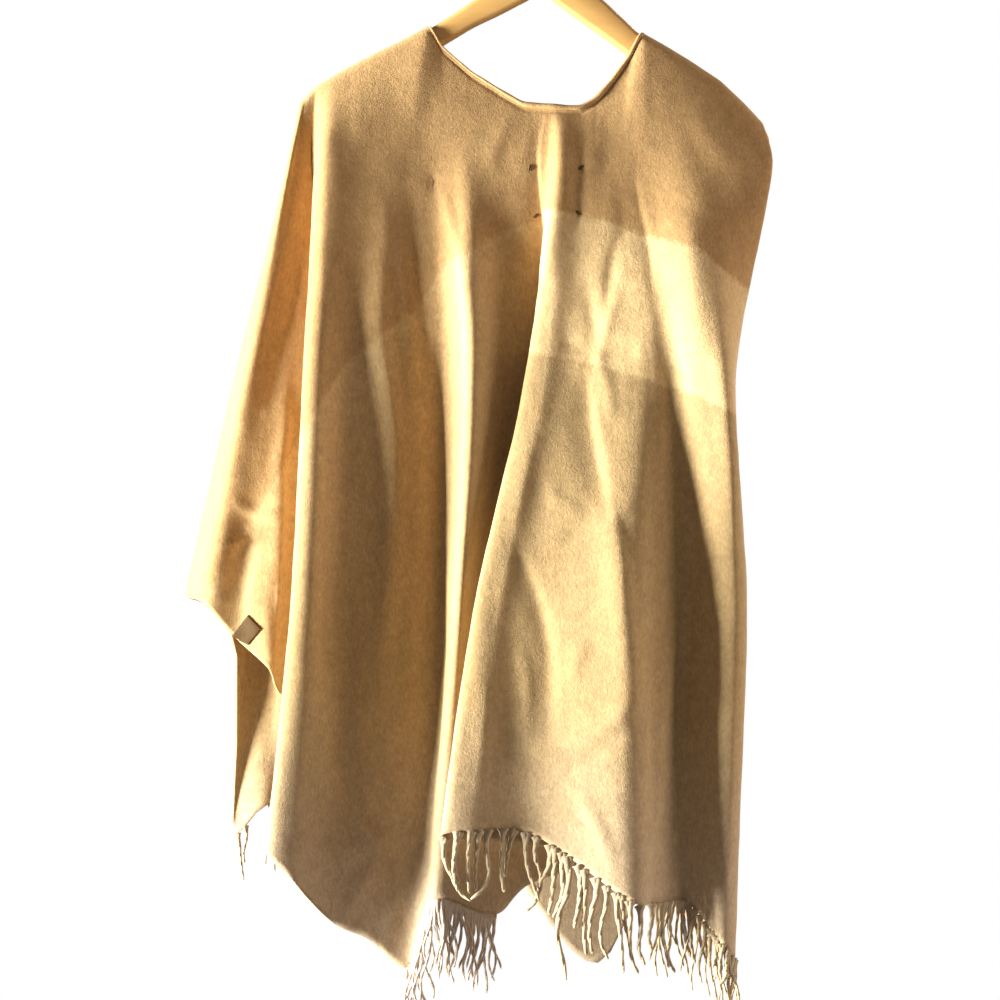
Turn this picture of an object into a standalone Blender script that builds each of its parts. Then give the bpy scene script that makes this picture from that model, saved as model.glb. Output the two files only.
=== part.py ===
"""Fringed blanket poncho hanging on a flat wooden hanger.

Metres, +Z up. The origin is the inside top of the hanger's hook, +X is the
right of the side that shows, and -Y is towards whoever looks at that side.
The tables below are in millimetres, and MM turns them into metres.
"""
import math

import bmesh
import bpy
from mathutils import Vector
from mathutils.bvhtree import BVHTree

MM = 0.001

# The cloth
WALL = 2.0
SHOULDER_HALF_SEAM = 0.27
SIDE_HALF_SEAM = 1.1
FRONT_STEPS = 3
BACK_STEPS = 2
HANG_ROWS = 11
HEIGHTS = (-270.0, -480.0, -690.0, -900.0)

# The cloth's bend over the hanger's arm
BEND_RADIUS = 9.0
BEND_DROPS = (0.0, 0.2, 1.2, 4.5, BEND_RADIUS)
ARM_CLEARANCE = BEND_RADIUS - 6.5
HANG_REACH = 9.4

# The hanger
ARM_THICKNESS = 13.0
WIRE_RADIUS = 1.75
HOOK_INNER_RADIUS = 17.0
HOOK_CENTRE_X = -1.0
SHANK_FOOT_X = -2.0
SHANK_GAP = 0.3

# The rolled neck edge
NECK_HEM_RADIUS = 2.2
NECK_HEM_GAP = 0.6
NECK_HEM_LIFT = 0.9
NECK_HEM_ARM_LIFT = 1.7

# The fringe
STRIP_GAP = 0.6
STRIP_HEIGHT = 4.0
STRIP_HALF_THICKNESS = 1.3
STRAND_ROOT = 3.0
STRAND_HALF_WIDTH = 1.0
STRAND_RINGS = 3

# Flat wooden hanger: x, top edge z, bottom edge z, share of the full thickness
ARM_SECTIONS = (
    (-239, -201, -212, 0.45),
    (-236, -197, -215, 0.85),
    (-228, -190, -217, 1.0),
    (-210, -179, -208, 1.0),
    (-175, -160, -188, 1.0),
    (-148, -147, -173, 1.0),
    (-120, -132, -157, 1.0),
    (-97, -118, -143, 1.0),
    (-75, -103, -130, 1.0),
    (-50, -88, -118, 1.0),
    (-25, -76, -105, 1.0),
    (-9, -70, -97, 1.0),
    (5, -70, -107, 1.0),
    (24, -79, -121, 1.0),
    (51, -103, -140, 1.0),
    (70, -121, -154, 1.0),
    (90, -139, -169, 1.0),
    (113, -152, -182, 1.0),
    (136, -166, -196, 1.0),
    (166, -186, -214, 1.0),
    (188, -207, -230, 1.0),
    (197, -218, -236, 0.85),
    (200, -222, -235, 0.45),
)

# Shoulder line past the hanger's two ends: x, z
LEFT_SHOULDER_END = ((-245, -204),)
RIGHT_SHOULDER_END = ((197, -214), (206, -224), (212, -238), (214, -252))

# Neck opening: where its edge leaves the shoulder line, and where it comes off
# the hanger's arm, then x, front edge z, back edge z and reach where it hangs
NECK_LEFT = -122.0
NECK_LEFT_FOOT = -116.0
NECK_RIGHT_FOOT = 86.0
NECK_RIGHT = 92.0
NECK = (
    (-107.8, -151, -152, 10),
    (-79, -177, -177, 15),
    (-50, -196, -195, 19),
    (-27, -210, -208, 22),
    (5, -212.5, -210, 24),
    (29, -213.5, -211, 23),
    (44, -204, -203, 20),
    (60, -185, -184, 16),
    (77, -161, -161, 11),
)

# Each row is one fold line that runs down the cloth: name, x at the shoulder,
# x at the four HEIGHTS, z of the lower edge, and the distance in front of the
# middle plane at the four HEIGHTS.
FRONT_FOLDS = (
    ("left_side", -245, -259, -311, -359, -407, -688, 0, 0, 0, 0),
    ("wing_face", -242, -256, -298, -334, -371, -694, 22, 26, 30, 30),
    ("wing_crest", -239, -249, -278, -300, -326, -728, 20, 24, 28, 26),
    ("wing_roll", -236, -241, -259, -266, -294, -756, 17, 21, 37, 36),
    ("wing_under", -233, -237, -245, -250, -261, -790, 15, 18, 20, 16),
    ("wing_turn", -230, -233, -204, -174, -160, -832, 14, 13, 10, 8),
    ("wing_turn_back", -229, -230, -201, -172, -157, -843, 17, 23, 22, 20),
    ("wing_return", -227, -229, -223, -219, -217, -882, 23, 36, 40, 40),
    ("edge_roll", -223, -228, -238, -248, -267, -919, 34, 58, 76, 86),
    ("edge_face", -213, -218, -224, -231, -246, -947, 45, 66, 83, 91),
    ("edge_dip", -195, -194, -199, -203, -208, -995, 42, 54, 61, 65),
    ("panel_roll", -160, -157, -158, -156, -169, -1014, 37, 47, 51, 53),
    ("panel_dip", -122, -137, -124, -123, -133, -1044, 34, 40, 42, 44),
    ("left_collar", -116, -116, -103, -106, -118, -1010, 32, 37, 40, 51),
    ("ridge_side", -107, -98, -88, -97, -112, -980, 34, 57, 66, 64),
    ("ridge_crest", -91, -82, -75, -86, -100, -973, 36, 75, 82, 72),
    ("ridge_dip", -58, -57, -44, -64, -58, -992, 35, 45, 46, 44),
    ("lap_inner", -26, -27, -15, -20, -20, -965, 34, 34, 28, 24),
    ("lap_turn", -9, -14, 10, 35, 53, -941, 33, 30, 26, 22),
    ("lap_turn_back", -5, -11, 9, 35, 52, -937, 35, 40, 40, 36),
    ("lap_return", -1, -5, -10, -14, -16, -923, 37, 50, 60, 64),
    ("lap_edge", 5, 3, -26, -72, -101, -909, 42, 66, 92, 106),
    ("lap_face", 15, 13, -9, -52, -80, -902, 44, 71, 97, 112),
    ("lap_dip", 34, 35, 14, -20, -20, -907, 42, 69, 93, 99),
    ("fall_roll", 60, 52, 74, 66, 69, -966, 39.5, 75, 108, 116),
    ("right_collar", 86, 74, 96, 98, 96, -972, 39.5, 74, 88, 92),
    ("fall_dip", 92, 92, 118, 126, 128, -977, 40, 70, 66, 67),
    ("right_roll", 150, 143, 165, 172, 166, -1016, 43, 84, 90, 86),
    ("right_turn", 203, 208, 176, 184, 177, -1033, 32, 41, 52, 52),
    ("tuck_under", 207.5, 209, 166, 152, 141, -1003, 22, 20, 23, 24),
    ("tuck_mid", 210, 210, 154, 117, 97, -976, 16, 14, 16, 18),
    ("tuck_corner", 211.5, 210, 140, 81, 60, -1044, 13, 11, 12, 13),
    ("tuck_edge", 212.5, 209.5, 126, 50, 8, -993, 10, 8, 9, 9),
    ("tuck_rim", 213.3, 209, 118, 21, -68, -870, 7, 5, 5, 5),
    ("right_side", 214, 208.5, 115, 17, -77, -740, 0, 0, 0, 0),
)

# The same for the side that does not show, with the distance behind the plane
BACK_FOLDS = (
    ("left_side", -245, -259, -311, -359, -407, -688, 0, 0, 0, 0),
    ("wing_back", -241, -255, -300, -336, -368, -700, 9, 14, 18, 20),
    ("wing_edge", -236, -248, -282, -306, -322, -748, 14, 18, 24, 28),
    ("wing_corner", -228, -240, -268, -292, -315, -918, 18, 28, 38, 46),
    ("hem_fold_a", -213, -219, -238, -260, -282, -896, 18, 20, 26, 30),
    ("hem_roll_a", -189, -191, -201, -215, -228, -906, 20, 34, 46, 58),
    ("hem_fold_b", -156, -154, -156, -162, -170, -918, 20, 26, 28, 28),
    ("hem_roll_b", -122, -124, -122, -124, -126, -922, 22, 38, 54, 68),
    ("left_collar", -116, -116, -109, -107, -105, -920, 22, 36, 48, 58),
    ("hem_fold_c", -87, -85, -81, -79, -77, -910, 24, 28, 30, 30),
    ("hem_roll_c", -48, -46, -42, -40, -36, -891, 26, 40, 58, 72),
    ("hem_fold_d", -3, -1, 1, 1, 3, -883, 28, 32, 32, 30),
    ("hem_roll_d", 42, 46, 48, 48, 48, -891, 26, 42, 60, 76),
    ("right_collar", 86, 87, 87, 87, 87, -899, 23, 30, 36, 42),
    ("hem_fold_e", 92, 95, 101, 105, 107, -903, 22, 28, 30, 30),
    ("back_roll", 148, 150, 148, 152, 152, -906, 22, 40, 58, 70),
    ("back_slope", 174, 180, 163, 168, 166, -905, 23, 37, 52, 60),
    ("back_turn", 198, 207, 175, 183, 179, -903, 24, 32, 42, 46),
    ("back_under", 207, 209, 166, 150, 140, -899, 18, 18, 20, 22),
    ("back_corner", 211, 209.5, 140, 87, 60, -887, 13, 10, 11, 12),
    ("back_rim", 213, 209, 118, 21, -68, -830, 7, 5, 5, 5),
    ("right_side", 214, 208.5, 115, 17, -77, -740, 0, 0, 0, 0),
)

# Fringed stretches: first fold, last fold, distance between strands, length
FRONT_FRINGE = (
    ("panel_dip", "ridge_dip", 5.2, 68),
    ("lap_edge", "tuck_under", 9.0, 66),
)
BACK_FRINGE = (
    ("wing_corner", "back_under", 10.0, 62),
)

# Small blank tag on the sleeve: x and z of its corners
TAG_CORNERS = ((-292, -700), (-279, -713), (-291, -730), (-306, -719))
TAG_THICKNESS = 1.2
TAG_GAP = 0.7

PALETTE = {
    "wool": ((0.55, 0.38, 0.22, 1.0), 0.95, 0.0),
    "wool_edge": ((0.50, 0.34, 0.20, 1.0), 0.95, 0.0),
    "yarn": ((0.42, 0.32, 0.24, 1.0), 0.95, 0.0),
    "leather": ((0.24, 0.14, 0.07, 1.0), 0.7, 0.0),
    "beech": ((0.75, 0.48, 0.22, 1.0), 0.45, 0.0),
    "steel": ((0.62, 0.62, 0.62, 1.0), 0.3, 1.0),
}


def through(knots, values, at):
    """Smooth curve through values at rising or falling knots, straight past the ends."""
    if knots[0] > knots[-1]:
        knots = [-k for k in knots]
        at = -at
    slopes = []
    for i in range(len(knots)):
        low = max(i - 1, 0)
        high = min(i + 1, len(knots) - 1)
        slopes.append((values[high] - values[low]) / (knots[high] - knots[low]))
    if at <= knots[0]:
        return values[0] + slopes[0] * (at - knots[0])
    if at >= knots[-1]:
        return values[-1] + slopes[-1] * (at - knots[-1])
    i = max(k for k in range(len(knots) - 1) if knots[k] <= at)
    span = knots[i + 1] - knots[i]
    t = (at - knots[i]) / span
    return (
        (2 * t ** 3 - 3 * t ** 2 + 1) * values[i]
        + (t ** 3 - 2 * t ** 2 + t) * span * slopes[i]
        + (3 * t ** 2 - 2 * t ** 3) * values[i + 1]
        + (t ** 3 - t ** 2) * span * slopes[i + 1]
    )


def straight(rows, at, column):
    """Value of one column of a table at x, on straight lines between its rows."""
    for low, high in zip(rows, rows[1:]):
        if at <= high[0]:
            share = (at - low[0]) / (high[0] - low[0])
            return low[column] + share * (high[column] - low[column])
    return rows[-1][column]


def shoulder_z(x):
    """Height of the cloth's middle where it lies on the hanger, or past its ends."""
    on_arm = [(row[0], row[1] + ARM_CLEARANCE) for row in ARM_SECTIONS]
    on_arm = [row for row in on_arm if row[0] < RIGHT_SHOULDER_END[0][0]]
    return straight(list(LEFT_SHOULDER_END) + on_arm + list(RIGHT_SHOULDER_END), x, 1)


def corner_drop(share):
    """Drop below the shoulder line as the neck's edge bends over the arm."""
    return BEND_RADIUS * (1.0 - math.cos(share * math.pi / 2))


def top_edge(x, side):
    """Height and reach of the cloth's upper edge; side is 1 for front, 2 for back."""
    if x <= NECK_LEFT or x >= NECK_RIGHT:
        return shoulder_z(x), HANG_REACH
    if x <= NECK_LEFT_FOOT:
        share = (x - NECK_LEFT) / (NECK_LEFT_FOOT - NECK_LEFT)
        return shoulder_z(x) - corner_drop(share), HANG_REACH
    if x >= NECK_RIGHT_FOOT:
        share = (NECK_RIGHT - x) / (NECK_RIGHT - NECK_RIGHT_FOOT)
        return shoulder_z(x) - corner_drop(share), HANG_REACH
    left = (NECK_LEFT_FOOT,) + (shoulder_z(NECK_LEFT_FOOT) - BEND_RADIUS,) * 2 + (HANG_REACH,)
    right = (NECK_RIGHT_FOOT,) + (shoulder_z(NECK_RIGHT_FOOT) - BEND_RADIUS,) * 2 + (HANG_REACH,)
    rows = (left,) + NECK + (right,)
    return straight(rows, x, side), straight(rows, x, 3)


def bend_share(x, z):
    """0 on the shoulder line, 1 once the cloth has bent over the hanger's arm."""
    drop = min(max(shoulder_z(x) - z, 0.0), BEND_RADIUS)
    return math.sin(math.acos(1.0 - drop / BEND_RADIUS))


def spread(folds, column, steps):
    """Values of one column of the fold table, with steps between each two folds."""
    values = [row[column] for row in folds]
    places = list(range(len(values)))
    stations = [i / steps for i in range((len(values) - 1) * steps + 1)]
    if column == 1:
        rows = list(zip(places, values))
        return [straight(rows, at, 1) for at in stations]
    return [through(places, values, at) for at in stations]


def cloth_grid(folds, side):
    """Points of the cloth's middle surface: a list of rows for each line down it."""
    steps = FRONT_STEPS if side == 1 else BACK_STEPS
    columns = [spread(folds, c, steps) for c in range(1, 11)]
    sign = -1.0 if side == 1 else 1.0
    last = len(columns[0]) - 1
    lines = []
    for i, values in enumerate(zip(*columns)):
        top_x, hem_z, reaches = values[0], values[5], values[6:]
        top_z, start = top_edge(top_x, side)
        edge = i in (0, last)
        least = SIDE_HALF_SEAM if min(i, last - i) < 3 else SHOULDER_HALF_SEAM
        knots = (top_z,) + HEIGHTS
        xs = (top_x,) + values[1:5]
        ys = ((0.0 if edge else min(start, reaches[0])),) + tuple(reaches)
        heights = [top_z - drop for drop in BEND_DROPS]
        bent = heights[-1]
        heights += [bent + (hem_z - bent) * k / HANG_ROWS for k in range(1, HANG_ROWS + 1)]
        line = []
        for z in heights:
            x = through(knots, xs, z)
            reach = through(knots, ys, z) * bend_share(top_x, z)
            line.append(Vector((x, sign * max(reach, least), z)) * MM)
        lines.append(line)
    return lines


def material(name):
    """Principled material with the colour, roughness and metallic value of the palette."""
    found = bpy.data.materials.get(name)
    if found:
        return found
    colour, roughness, metallic = PALETTE[name]
    made = bpy.data.materials.new(name)
    made.use_nodes = True
    shader = made.node_tree.nodes["Principled BSDF"]
    shader.inputs["Base Color"].default_value = colour
    shader.inputs["Roughness"].default_value = roughness
    shader.inputs["Metallic"].default_value = metallic
    return made


def add_object(name, data, finish, collection):
    """Object with its data, its material and its place in the part's collection."""
    made = bpy.data.objects.new(name, data)
    data.materials.append(material(finish))
    collection.objects.link(made)
    return made


def mesh_from(name, points, faces):
    """Mesh whose faces all point the same way out."""
    mesh = bpy.data.meshes.new(name)
    mesh.from_pydata([tuple(p) for p in points], [], faces)
    shaper = bmesh.new()
    shaper.from_mesh(mesh)
    bmesh.ops.recalc_face_normals(shaper, faces=shaper.faces)
    shaper.to_mesh(mesh)
    shaper.free()
    mesh.shade_smooth()
    return mesh


def grid_faces(lines):
    """Four-sided faces between neighbouring lines of a grid."""
    rows = len(lines[0])
    return [
        (i * rows + j, i * rows + j + 1, (i + 1) * rows + j + 1, (i + 1) * rows + j)
        for i in range(len(lines) - 1)
        for j in range(rows - 1)
    ]


def build_cloth(name, folds, side, collection):
    """One panel: an open folded sheet, given the cloth's thickness by Solidify."""
    lines = cloth_grid(folds, side)
    mesh = mesh_from(name, [p for line in lines for p in line], grid_faces(lines))
    panel = add_object(name, mesh, "wool", collection)
    wall = panel.modifiers.new("wall", "SOLIDIFY")
    wall.thickness = WALL * MM
    wall.offset = 0.0
    return lines


def grid_normals(lines):
    """Outward direction of the cloth at each point of its grid."""
    mesh = mesh_from("normals", [p for line in lines for p in line], grid_faces(lines))
    rows = len(lines[0])
    away = [Vector(v.normal) for v in mesh.vertices]
    bpy.data.meshes.remove(mesh)
    return [away[i * rows:(i + 1) * rows] for i in range(len(lines))]


def neck_span(folds, lines, steps):
    """The cloth's points along the neck opening and the way the cloth faces there."""
    tops = spread(folds, 1, steps)
    normals = grid_normals(lines)
    return [
        (lines[i][0], normals[i][0])
        for i, x in enumerate(tops)
        if NECK_LEFT - 0.01 <= x <= NECK_RIGHT + 0.01
    ]


def neck_ring(front, back):
    """Centre line of the rolled edge, just off the cloth all round the neck opening."""
    loop = neck_span(FRONT_FOLDS, front, FRONT_STEPS)
    loop += neck_span(BACK_FOLDS, back, BACK_STEPS)[::-1][1:-1]
    centre = Vector(((NECK_LEFT + NECK_RIGHT) / 2, 0.0, -110.0)) * MM
    ring = []
    for i, (place, facing) in enumerate(loop):
        along = loop[(i + 1) % len(loop)][0] - loop[i - 1][0]
        x = place.x / MM
        axis = Vector((place.x, 0.0, (shoulder_z(x) - BEND_RADIUS) * MM))
        on_arm = place.z > axis.z - 0.5 * MM
        if on_arm:
            slope = shoulder_z(x + 1.0) - shoulder_z(x - 1.0)
            inward = Vector((2.0, 0.0, slope)).normalized()
            facing = (place - axis).normalized()
            if place.x > centre.x:
                inward.negate()
            lift = NECK_HEM_ARM_LIFT
        else:
            inward = facing.cross(along).normalized()
            if inward.dot(centre - place) < 0.0:
                inward.negate()
            facing = Vector((0.0, math.copysign(1.0, place.y), 0.0))
            lift = NECK_HEM_LIFT
        ring.append(
            place
            + inward * (NECK_HEM_RADIUS + NECK_HEM_GAP) * MM
            + facing * lift * MM
        )
    return ring


def build_tube(name, points, radius, finish, collection, closed=False, fineness=1):
    """Round tube: a curve with a bevel and, unless it is a ring, filled caps."""
    curve = bpy.data.curves.new(name, "CURVE")
    curve.dimensions = "3D"
    curve.bevel_depth = radius
    curve.bevel_resolution = fineness
    curve.use_fill_caps = not closed
    spline = curve.splines.new("POLY")
    spline.points.add(len(points) - 1)
    for target, place in zip(spline.points, points):
        target.co = (*place, 1.0)
    spline.use_cyclic_u = closed
    return add_object(name, curve, finish, collection)


def build_hanger(collection):
    """Flat wooden arm with rounded edges, lofted through its table of sections."""
    corners = 12
    points = []
    for x, top, bottom, share in ARM_SECTIONS:
        half = ARM_THICKNESS / 2 * share
        middle = (top + bottom) / 2
        straight_half = (top - bottom) / 2 - half
        for k in range(corners):
            angle = 2 * math.pi * (k + 0.5) / corners
            y = half * math.cos(angle)
            z = half * math.sin(angle)
            z += math.copysign(straight_half, z)
            points.append(Vector((x, y, middle + z)) * MM)
    faces = [tuple(range(corners))]
    last = (len(ARM_SECTIONS) - 1) * corners
    faces.append(tuple(last + k for k in reversed(range(corners))))
    for i in range(len(ARM_SECTIONS) - 1):
        for k in range(corners):
            a, b = i * corners + k, i * corners + (k + 1) % corners
            faces.append((a, b, b + corners, a + corners))
    mesh = mesh_from("hanger", points, faces)
    mesh.set_sharp_from_angle(angle=math.radians(50))
    add_object("hanger", mesh, "beech", collection)


def build_hook(collection):
    """Steel wire: straight shank, side bend and an open round hook with the origin inside."""
    radius = HOOK_INNER_RADIUS + WIRE_RADIUS
    centre = Vector((HOOK_CENTRE_X, 0.0, -HOOK_INNER_RADIUS))
    foot_z = straight(ARM_SECTIONS, SHANK_FOOT_X, 1) + SHANK_GAP
    points = [Vector((SHANK_FOOT_X, 0.0, foot_z))]
    points.append(Vector((SHANK_FOOT_X, 0.0, foot_z + 20.0)))
    points.append(Vector((SHANK_FOOT_X + 1.5, 0.0, foot_z + 26.0)))
    points.append(Vector((SHANK_FOOT_X + 5.0, 0.0, foot_z + 31.0)))
    for degrees in range(-56, 206, 12):
        turn = math.radians(degrees)
        points.append(centre + Vector((math.cos(turn), 0.0, math.sin(turn))) * radius)
    build_tube("hook", [p * MM for p in points], WIRE_RADIUS * MM, "steel", collection, fineness=2)


def hem_points(folds, lines, first, last):
    """Lower edge between two folds: places, directions down the cloth and outward."""
    names = [row[0] for row in folds]
    steps = (len(lines) - 1) // (len(folds) - 1)
    normals = grid_normals(lines)
    hem = []
    for i in range(names.index(first) * steps, names.index(last) * steps + 1):
        down = (lines[i][-1] - lines[i][-2]).normalized()
        hem.append((lines[i][-1], down, normals[i][-1]))
    return hem


def strip_stations(hem, pitch):
    """Places along the hem; those marked True start the root of a strand."""
    stations = [(*hem[0], False)]
    owed = 0.0
    for low, high in zip(hem, hem[1:]):
        way = high[0] - low[0]
        level = math.hypot(way.x, way.y) / MM
        owed += level / pitch
        count = int(owed)
        owed -= count
        root = min(STRAND_ROOT / max(level, STRAND_ROOT), 0.6 / max(count, 1))
        for k in range(count):
            for at, starts in (((k + 0.5) / count - root / 2, True),
                               ((k + 0.5) / count + root / 2, False)):
                stations.append((*(a.lerp(b, at) for a, b in zip(low, high)), starts))
        stations.append((*high, False))
    return stations


def strand_rings(root, length, phase):
    """Rings of four points down one strand, from its root on the strip to its tip."""
    centre = sum(root, Vector()) / 4
    half = STRAND_HALF_WIDTH * MM
    rings = []
    for k in range(1, STRAND_RINGS + 1):
        share = k / STRAND_RINGS
        sway = math.sin(phase + 3.4 * share) - math.sin(phase)
        middle = centre + Vector((2.2 * sway * MM, 1.4 * sway * share * MM, -length * share))
        size = half * (1.0 - 0.25 * share)
        ring = []
        for corner in root:
            side = corner - centre
            flat = Vector((side.x, side.y, 0.0)).normalized()
            ring.append(middle + flat * size * 1.3)
        rings.append(ring)
    return rings


def build_fringe(name, folds, lines, stretches, collection):
    """Narrow strip under the cloth's edge, with its strands grown out of its lower side."""
    points, faces = [], []
    for first, last, pitch, length in stretches:
        stations = strip_stations(hem_points(folds, lines, first, last), pitch)
        base = len(points)
        for place, down, out, _ in stations:
            out = out * STRIP_HALF_THICKNESS * MM
            top = place + down * STRIP_GAP * MM
            low = place + down * (STRIP_GAP + STRIP_HEIGHT) * MM
            points += [top - out, top + out, low + out, low - out]
        last_ring = base + (len(stations) - 1) * 4
        faces.append((base, base + 1, base + 2, base + 3))
        faces.append((last_ring + 3, last_ring + 2, last_ring + 1, last_ring))
        for i in range(len(stations) - 1):
            a, b = base + i * 4, base + (i + 1) * 4
            for k in (0, 1, 3):
                n = (k + 1) % 4
                faces.append((a + k, b + k, b + n, a + n))
            under = (a + 2, a + 3, b + 3, b + 2)
            if not stations[i][3]:
                faces.append(under)
                continue
            phase = 0.24 * i + 0.3 * math.sin(0.9 * i)
            reach = length * (1.0 + 0.13 * math.sin(2.3 * i)) * MM
            ring_base = list(under)
            for ring in strand_rings([points[k] for k in under], reach, phase):
                start = len(points)
                points += ring
                ring_now = [start + k for k in range(4)]
                for k in range(4):
                    n = (k + 1) % 4
                    faces.append((ring_base[k], ring_base[n], ring_now[n], ring_now[k]))
                ring_base = ring_now
            faces.append(tuple(ring_base))
    add_object(name, mesh_from(name, points, faces), "yarn", collection)


def build_tag(lines, collection):
    """Thin blank tag that follows the sleeve's surface a little outside it."""
    tree = BVHTree.FromPolygons([p for line in lines for p in line], grid_faces(lines))
    cells = 3
    away = (WALL / 2 + TAG_GAP + TAG_THICKNESS / 2) * MM
    points = []
    for i in range(cells + 1):
        for j in range(cells + 1):
            u, v = i / cells, j / cells
            weights = ((1 - u) * (1 - v), u * (1 - v), u * v, (1 - u) * v)
            x = sum(w * c[0] for w, c in zip(weights, TAG_CORNERS)) * MM
            z = sum(w * c[1] for w, c in zip(weights, TAG_CORNERS)) * MM
            hit, normal, _, _ = tree.ray_cast(Vector((x, -0.5, z)), Vector((0.0, 1.0, 0.0)))
            if normal.y > 0:
                normal = -normal
            points.append(hit + normal * away)
    faces = [
        (i * (cells + 1) + j, i * (cells + 1) + j + 1,
         (i + 1) * (cells + 1) + j + 1, (i + 1) * (cells + 1) + j)
        for i in range(cells)
        for j in range(cells)
    ]
    tag = add_object("side_tag", mesh_from("side_tag", points, faces), "leather", collection)
    wall = tag.modifiers.new("wall", "SOLIDIFY")
    wall.thickness = TAG_THICKNESS * MM
    wall.offset = 0.0


def main():
    """Empty the scene and build the hanger, the cloth and what is sewn to it."""
    for old in list(bpy.data.objects):
        bpy.data.objects.remove(old, do_unlink=True)
    collection = bpy.data.collections.new("poncho")
    bpy.context.scene.collection.children.link(collection)

    build_hanger(collection)
    build_hook(collection)
    front = build_cloth("front", FRONT_FOLDS, 1, collection)
    back = build_cloth("back", BACK_FOLDS, 2, collection)
    ring = neck_ring(front, back)
    build_tube("neck_hem", ring, NECK_HEM_RADIUS * MM, "wool_edge", collection, closed=True)
    build_fringe("front_fringe", FRONT_FOLDS, front, FRONT_FRINGE[:1], collection)
    build_fringe("lap_fringe", FRONT_FOLDS, front, FRONT_FRINGE[1:], collection)
    build_fringe("back_fringe", BACK_FOLDS, back, BACK_FRINGE, collection)
    build_tag(front, collection)


main()
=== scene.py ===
"""Looks of a fringed blanket poncho that hangs on a flat wooden hanger.

Sizes are in millimetres, as in the solids, and MM turns them into the frame's
metres. Places that are read off the photograph are in its own pixels, and
PIXEL, PHOTO_ZERO and the camera turn them into places on the object.
"""
import math
import random

import bmesh
import bpy
import numpy as np
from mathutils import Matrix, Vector, noise
from mathutils.bvhtree import BVHTree


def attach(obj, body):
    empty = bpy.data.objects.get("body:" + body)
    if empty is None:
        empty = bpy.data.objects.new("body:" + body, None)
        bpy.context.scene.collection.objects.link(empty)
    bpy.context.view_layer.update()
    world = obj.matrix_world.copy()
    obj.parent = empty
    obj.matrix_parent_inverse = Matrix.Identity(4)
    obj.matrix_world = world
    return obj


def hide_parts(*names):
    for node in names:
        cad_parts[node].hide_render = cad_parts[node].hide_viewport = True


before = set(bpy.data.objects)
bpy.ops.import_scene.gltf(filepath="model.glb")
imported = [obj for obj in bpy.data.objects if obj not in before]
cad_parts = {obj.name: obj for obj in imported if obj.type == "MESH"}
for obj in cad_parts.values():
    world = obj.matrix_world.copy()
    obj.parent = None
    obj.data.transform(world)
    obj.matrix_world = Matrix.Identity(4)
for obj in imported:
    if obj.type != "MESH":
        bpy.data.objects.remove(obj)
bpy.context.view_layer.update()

MM = 0.001
random.seed(7)

# The camera and what one pixel of the photograph is in the middle plane
PIXEL = 0.98
PHOTO_ZERO = (551.0, -105.0)
CAMERA_DISTANCE = 2400.0
CAMERA_CENTRE = (-50.0, -593.0)
FRAME_WIDTH = 1000 * PIXEL

# The cloth
WALL = 1.8
HEIGHTS = (-270.0, -480.0, -690.0, -900.0)
BEND_RADIUS = 9.0
ARM_CLEARANCE = BEND_RADIUS - 6.5
HANG_REACH = 9.4
BEND_ROWS = 7
FIRST_BEND = math.radians(9)
HANG_ROWS = 118
SEEN_STEP = 4.9
HIDDEN_STEP = 12.0
BACK_STEP = 12.0
NECK_LINE_DROP = 4.2
NECK_LINE_WIDTH = 1.9
NECK_LINE_DEPTH = 2.0

# The rolled neck edge
NECK_ROLL_RADIUS = 2.3
NECK_ROLL_RINGS = 260
NECK_ROLL_CORNERS = 12

# The fringe's strands: two plies each, and how far apart the even rows stand
STRAND_CORNERS = 6
STRAND_TURNS = 2.6
PLY_RADIUS = 0.86
LEFT_PITCH = 2.4
LAP_PITCH = 5.6
UNDER_PITCH = 10.0
BACK_PITCH = 9.4
LEFT_RADIUS = 1.6
TRACED_RADIUS = 2.4
THICK_RADIUS = 3.0
THICK_FROM = 545
THICK_TO = 600
LAP_RADIUS = 1.8
UNDER_RADIUS = 1.4
CORNER_RADIUS = 1.5
BACK_RADIUS = 1.35

# The hanger
ARM_THICKNESS = 13.0
WIRE_RADIUS = 1.75
HOOK_INNER_RADIUS = 17.0
HOOK_CENTRE_X = -1.0
SHANK_FOOT_X = -2.0

# Flat wooden arm: x, top edge z, bottom edge z, share of the full thickness
ARM_SECTIONS = (
    (-239, -201, -212, 0.45),
    (-236, -197, -215, 0.85),
    (-228, -190, -217, 1.0),
    (-210, -179, -208, 1.0),
    (-175, -160, -188, 1.0),
    (-148, -147, -173, 1.0),
    (-120, -132, -157, 1.0),
    (-97, -118, -143, 1.0),
    (-75, -103, -130, 1.0),
    (-50, -88, -118, 1.0),
    (-25, -76, -105, 1.0),
    (-9, -70, -97, 1.0),
    (5, -70, -107, 1.0),
    (24, -79, -121, 1.0),
    (51, -103, -140, 1.0),
    (70, -121, -154, 1.0),
    (90, -139, -169, 1.0),
    (113, -152, -182, 1.0),
    (136, -166, -196, 1.0),
    (166, -186, -214, 1.0),
    (188, -207, -230, 1.0),
    (197, -218, -236, 0.85),
    (200, -222, -235, 0.45),
)
LEFT_SHOULDER_END = ((-245, -204),)
RIGHT_SHOULDER_END = ((197, -214), (206, -224), (212, -238), (214, -252))

# Neck opening: x, front edge z, back edge z and reach where it hangs free
NECK_LEFT = -122.0
NECK_LEFT_FOOT = -116.0
NECK_RIGHT_FOOT = 86.0
NECK_RIGHT = 92.0
NECK = (
    (-107.8, -151, -152, 10),
    (-79, -177, -177, 15),
    (-50, -196, -195, 19),
    (-27, -210, -208, 22),
    (5, -212.5, -210, 24),
    (29, -213.5, -211, 23),
    (44, -204, -203, 20),
    (60, -185, -184, 16),
    (77, -161, -161, 11),
)

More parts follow.
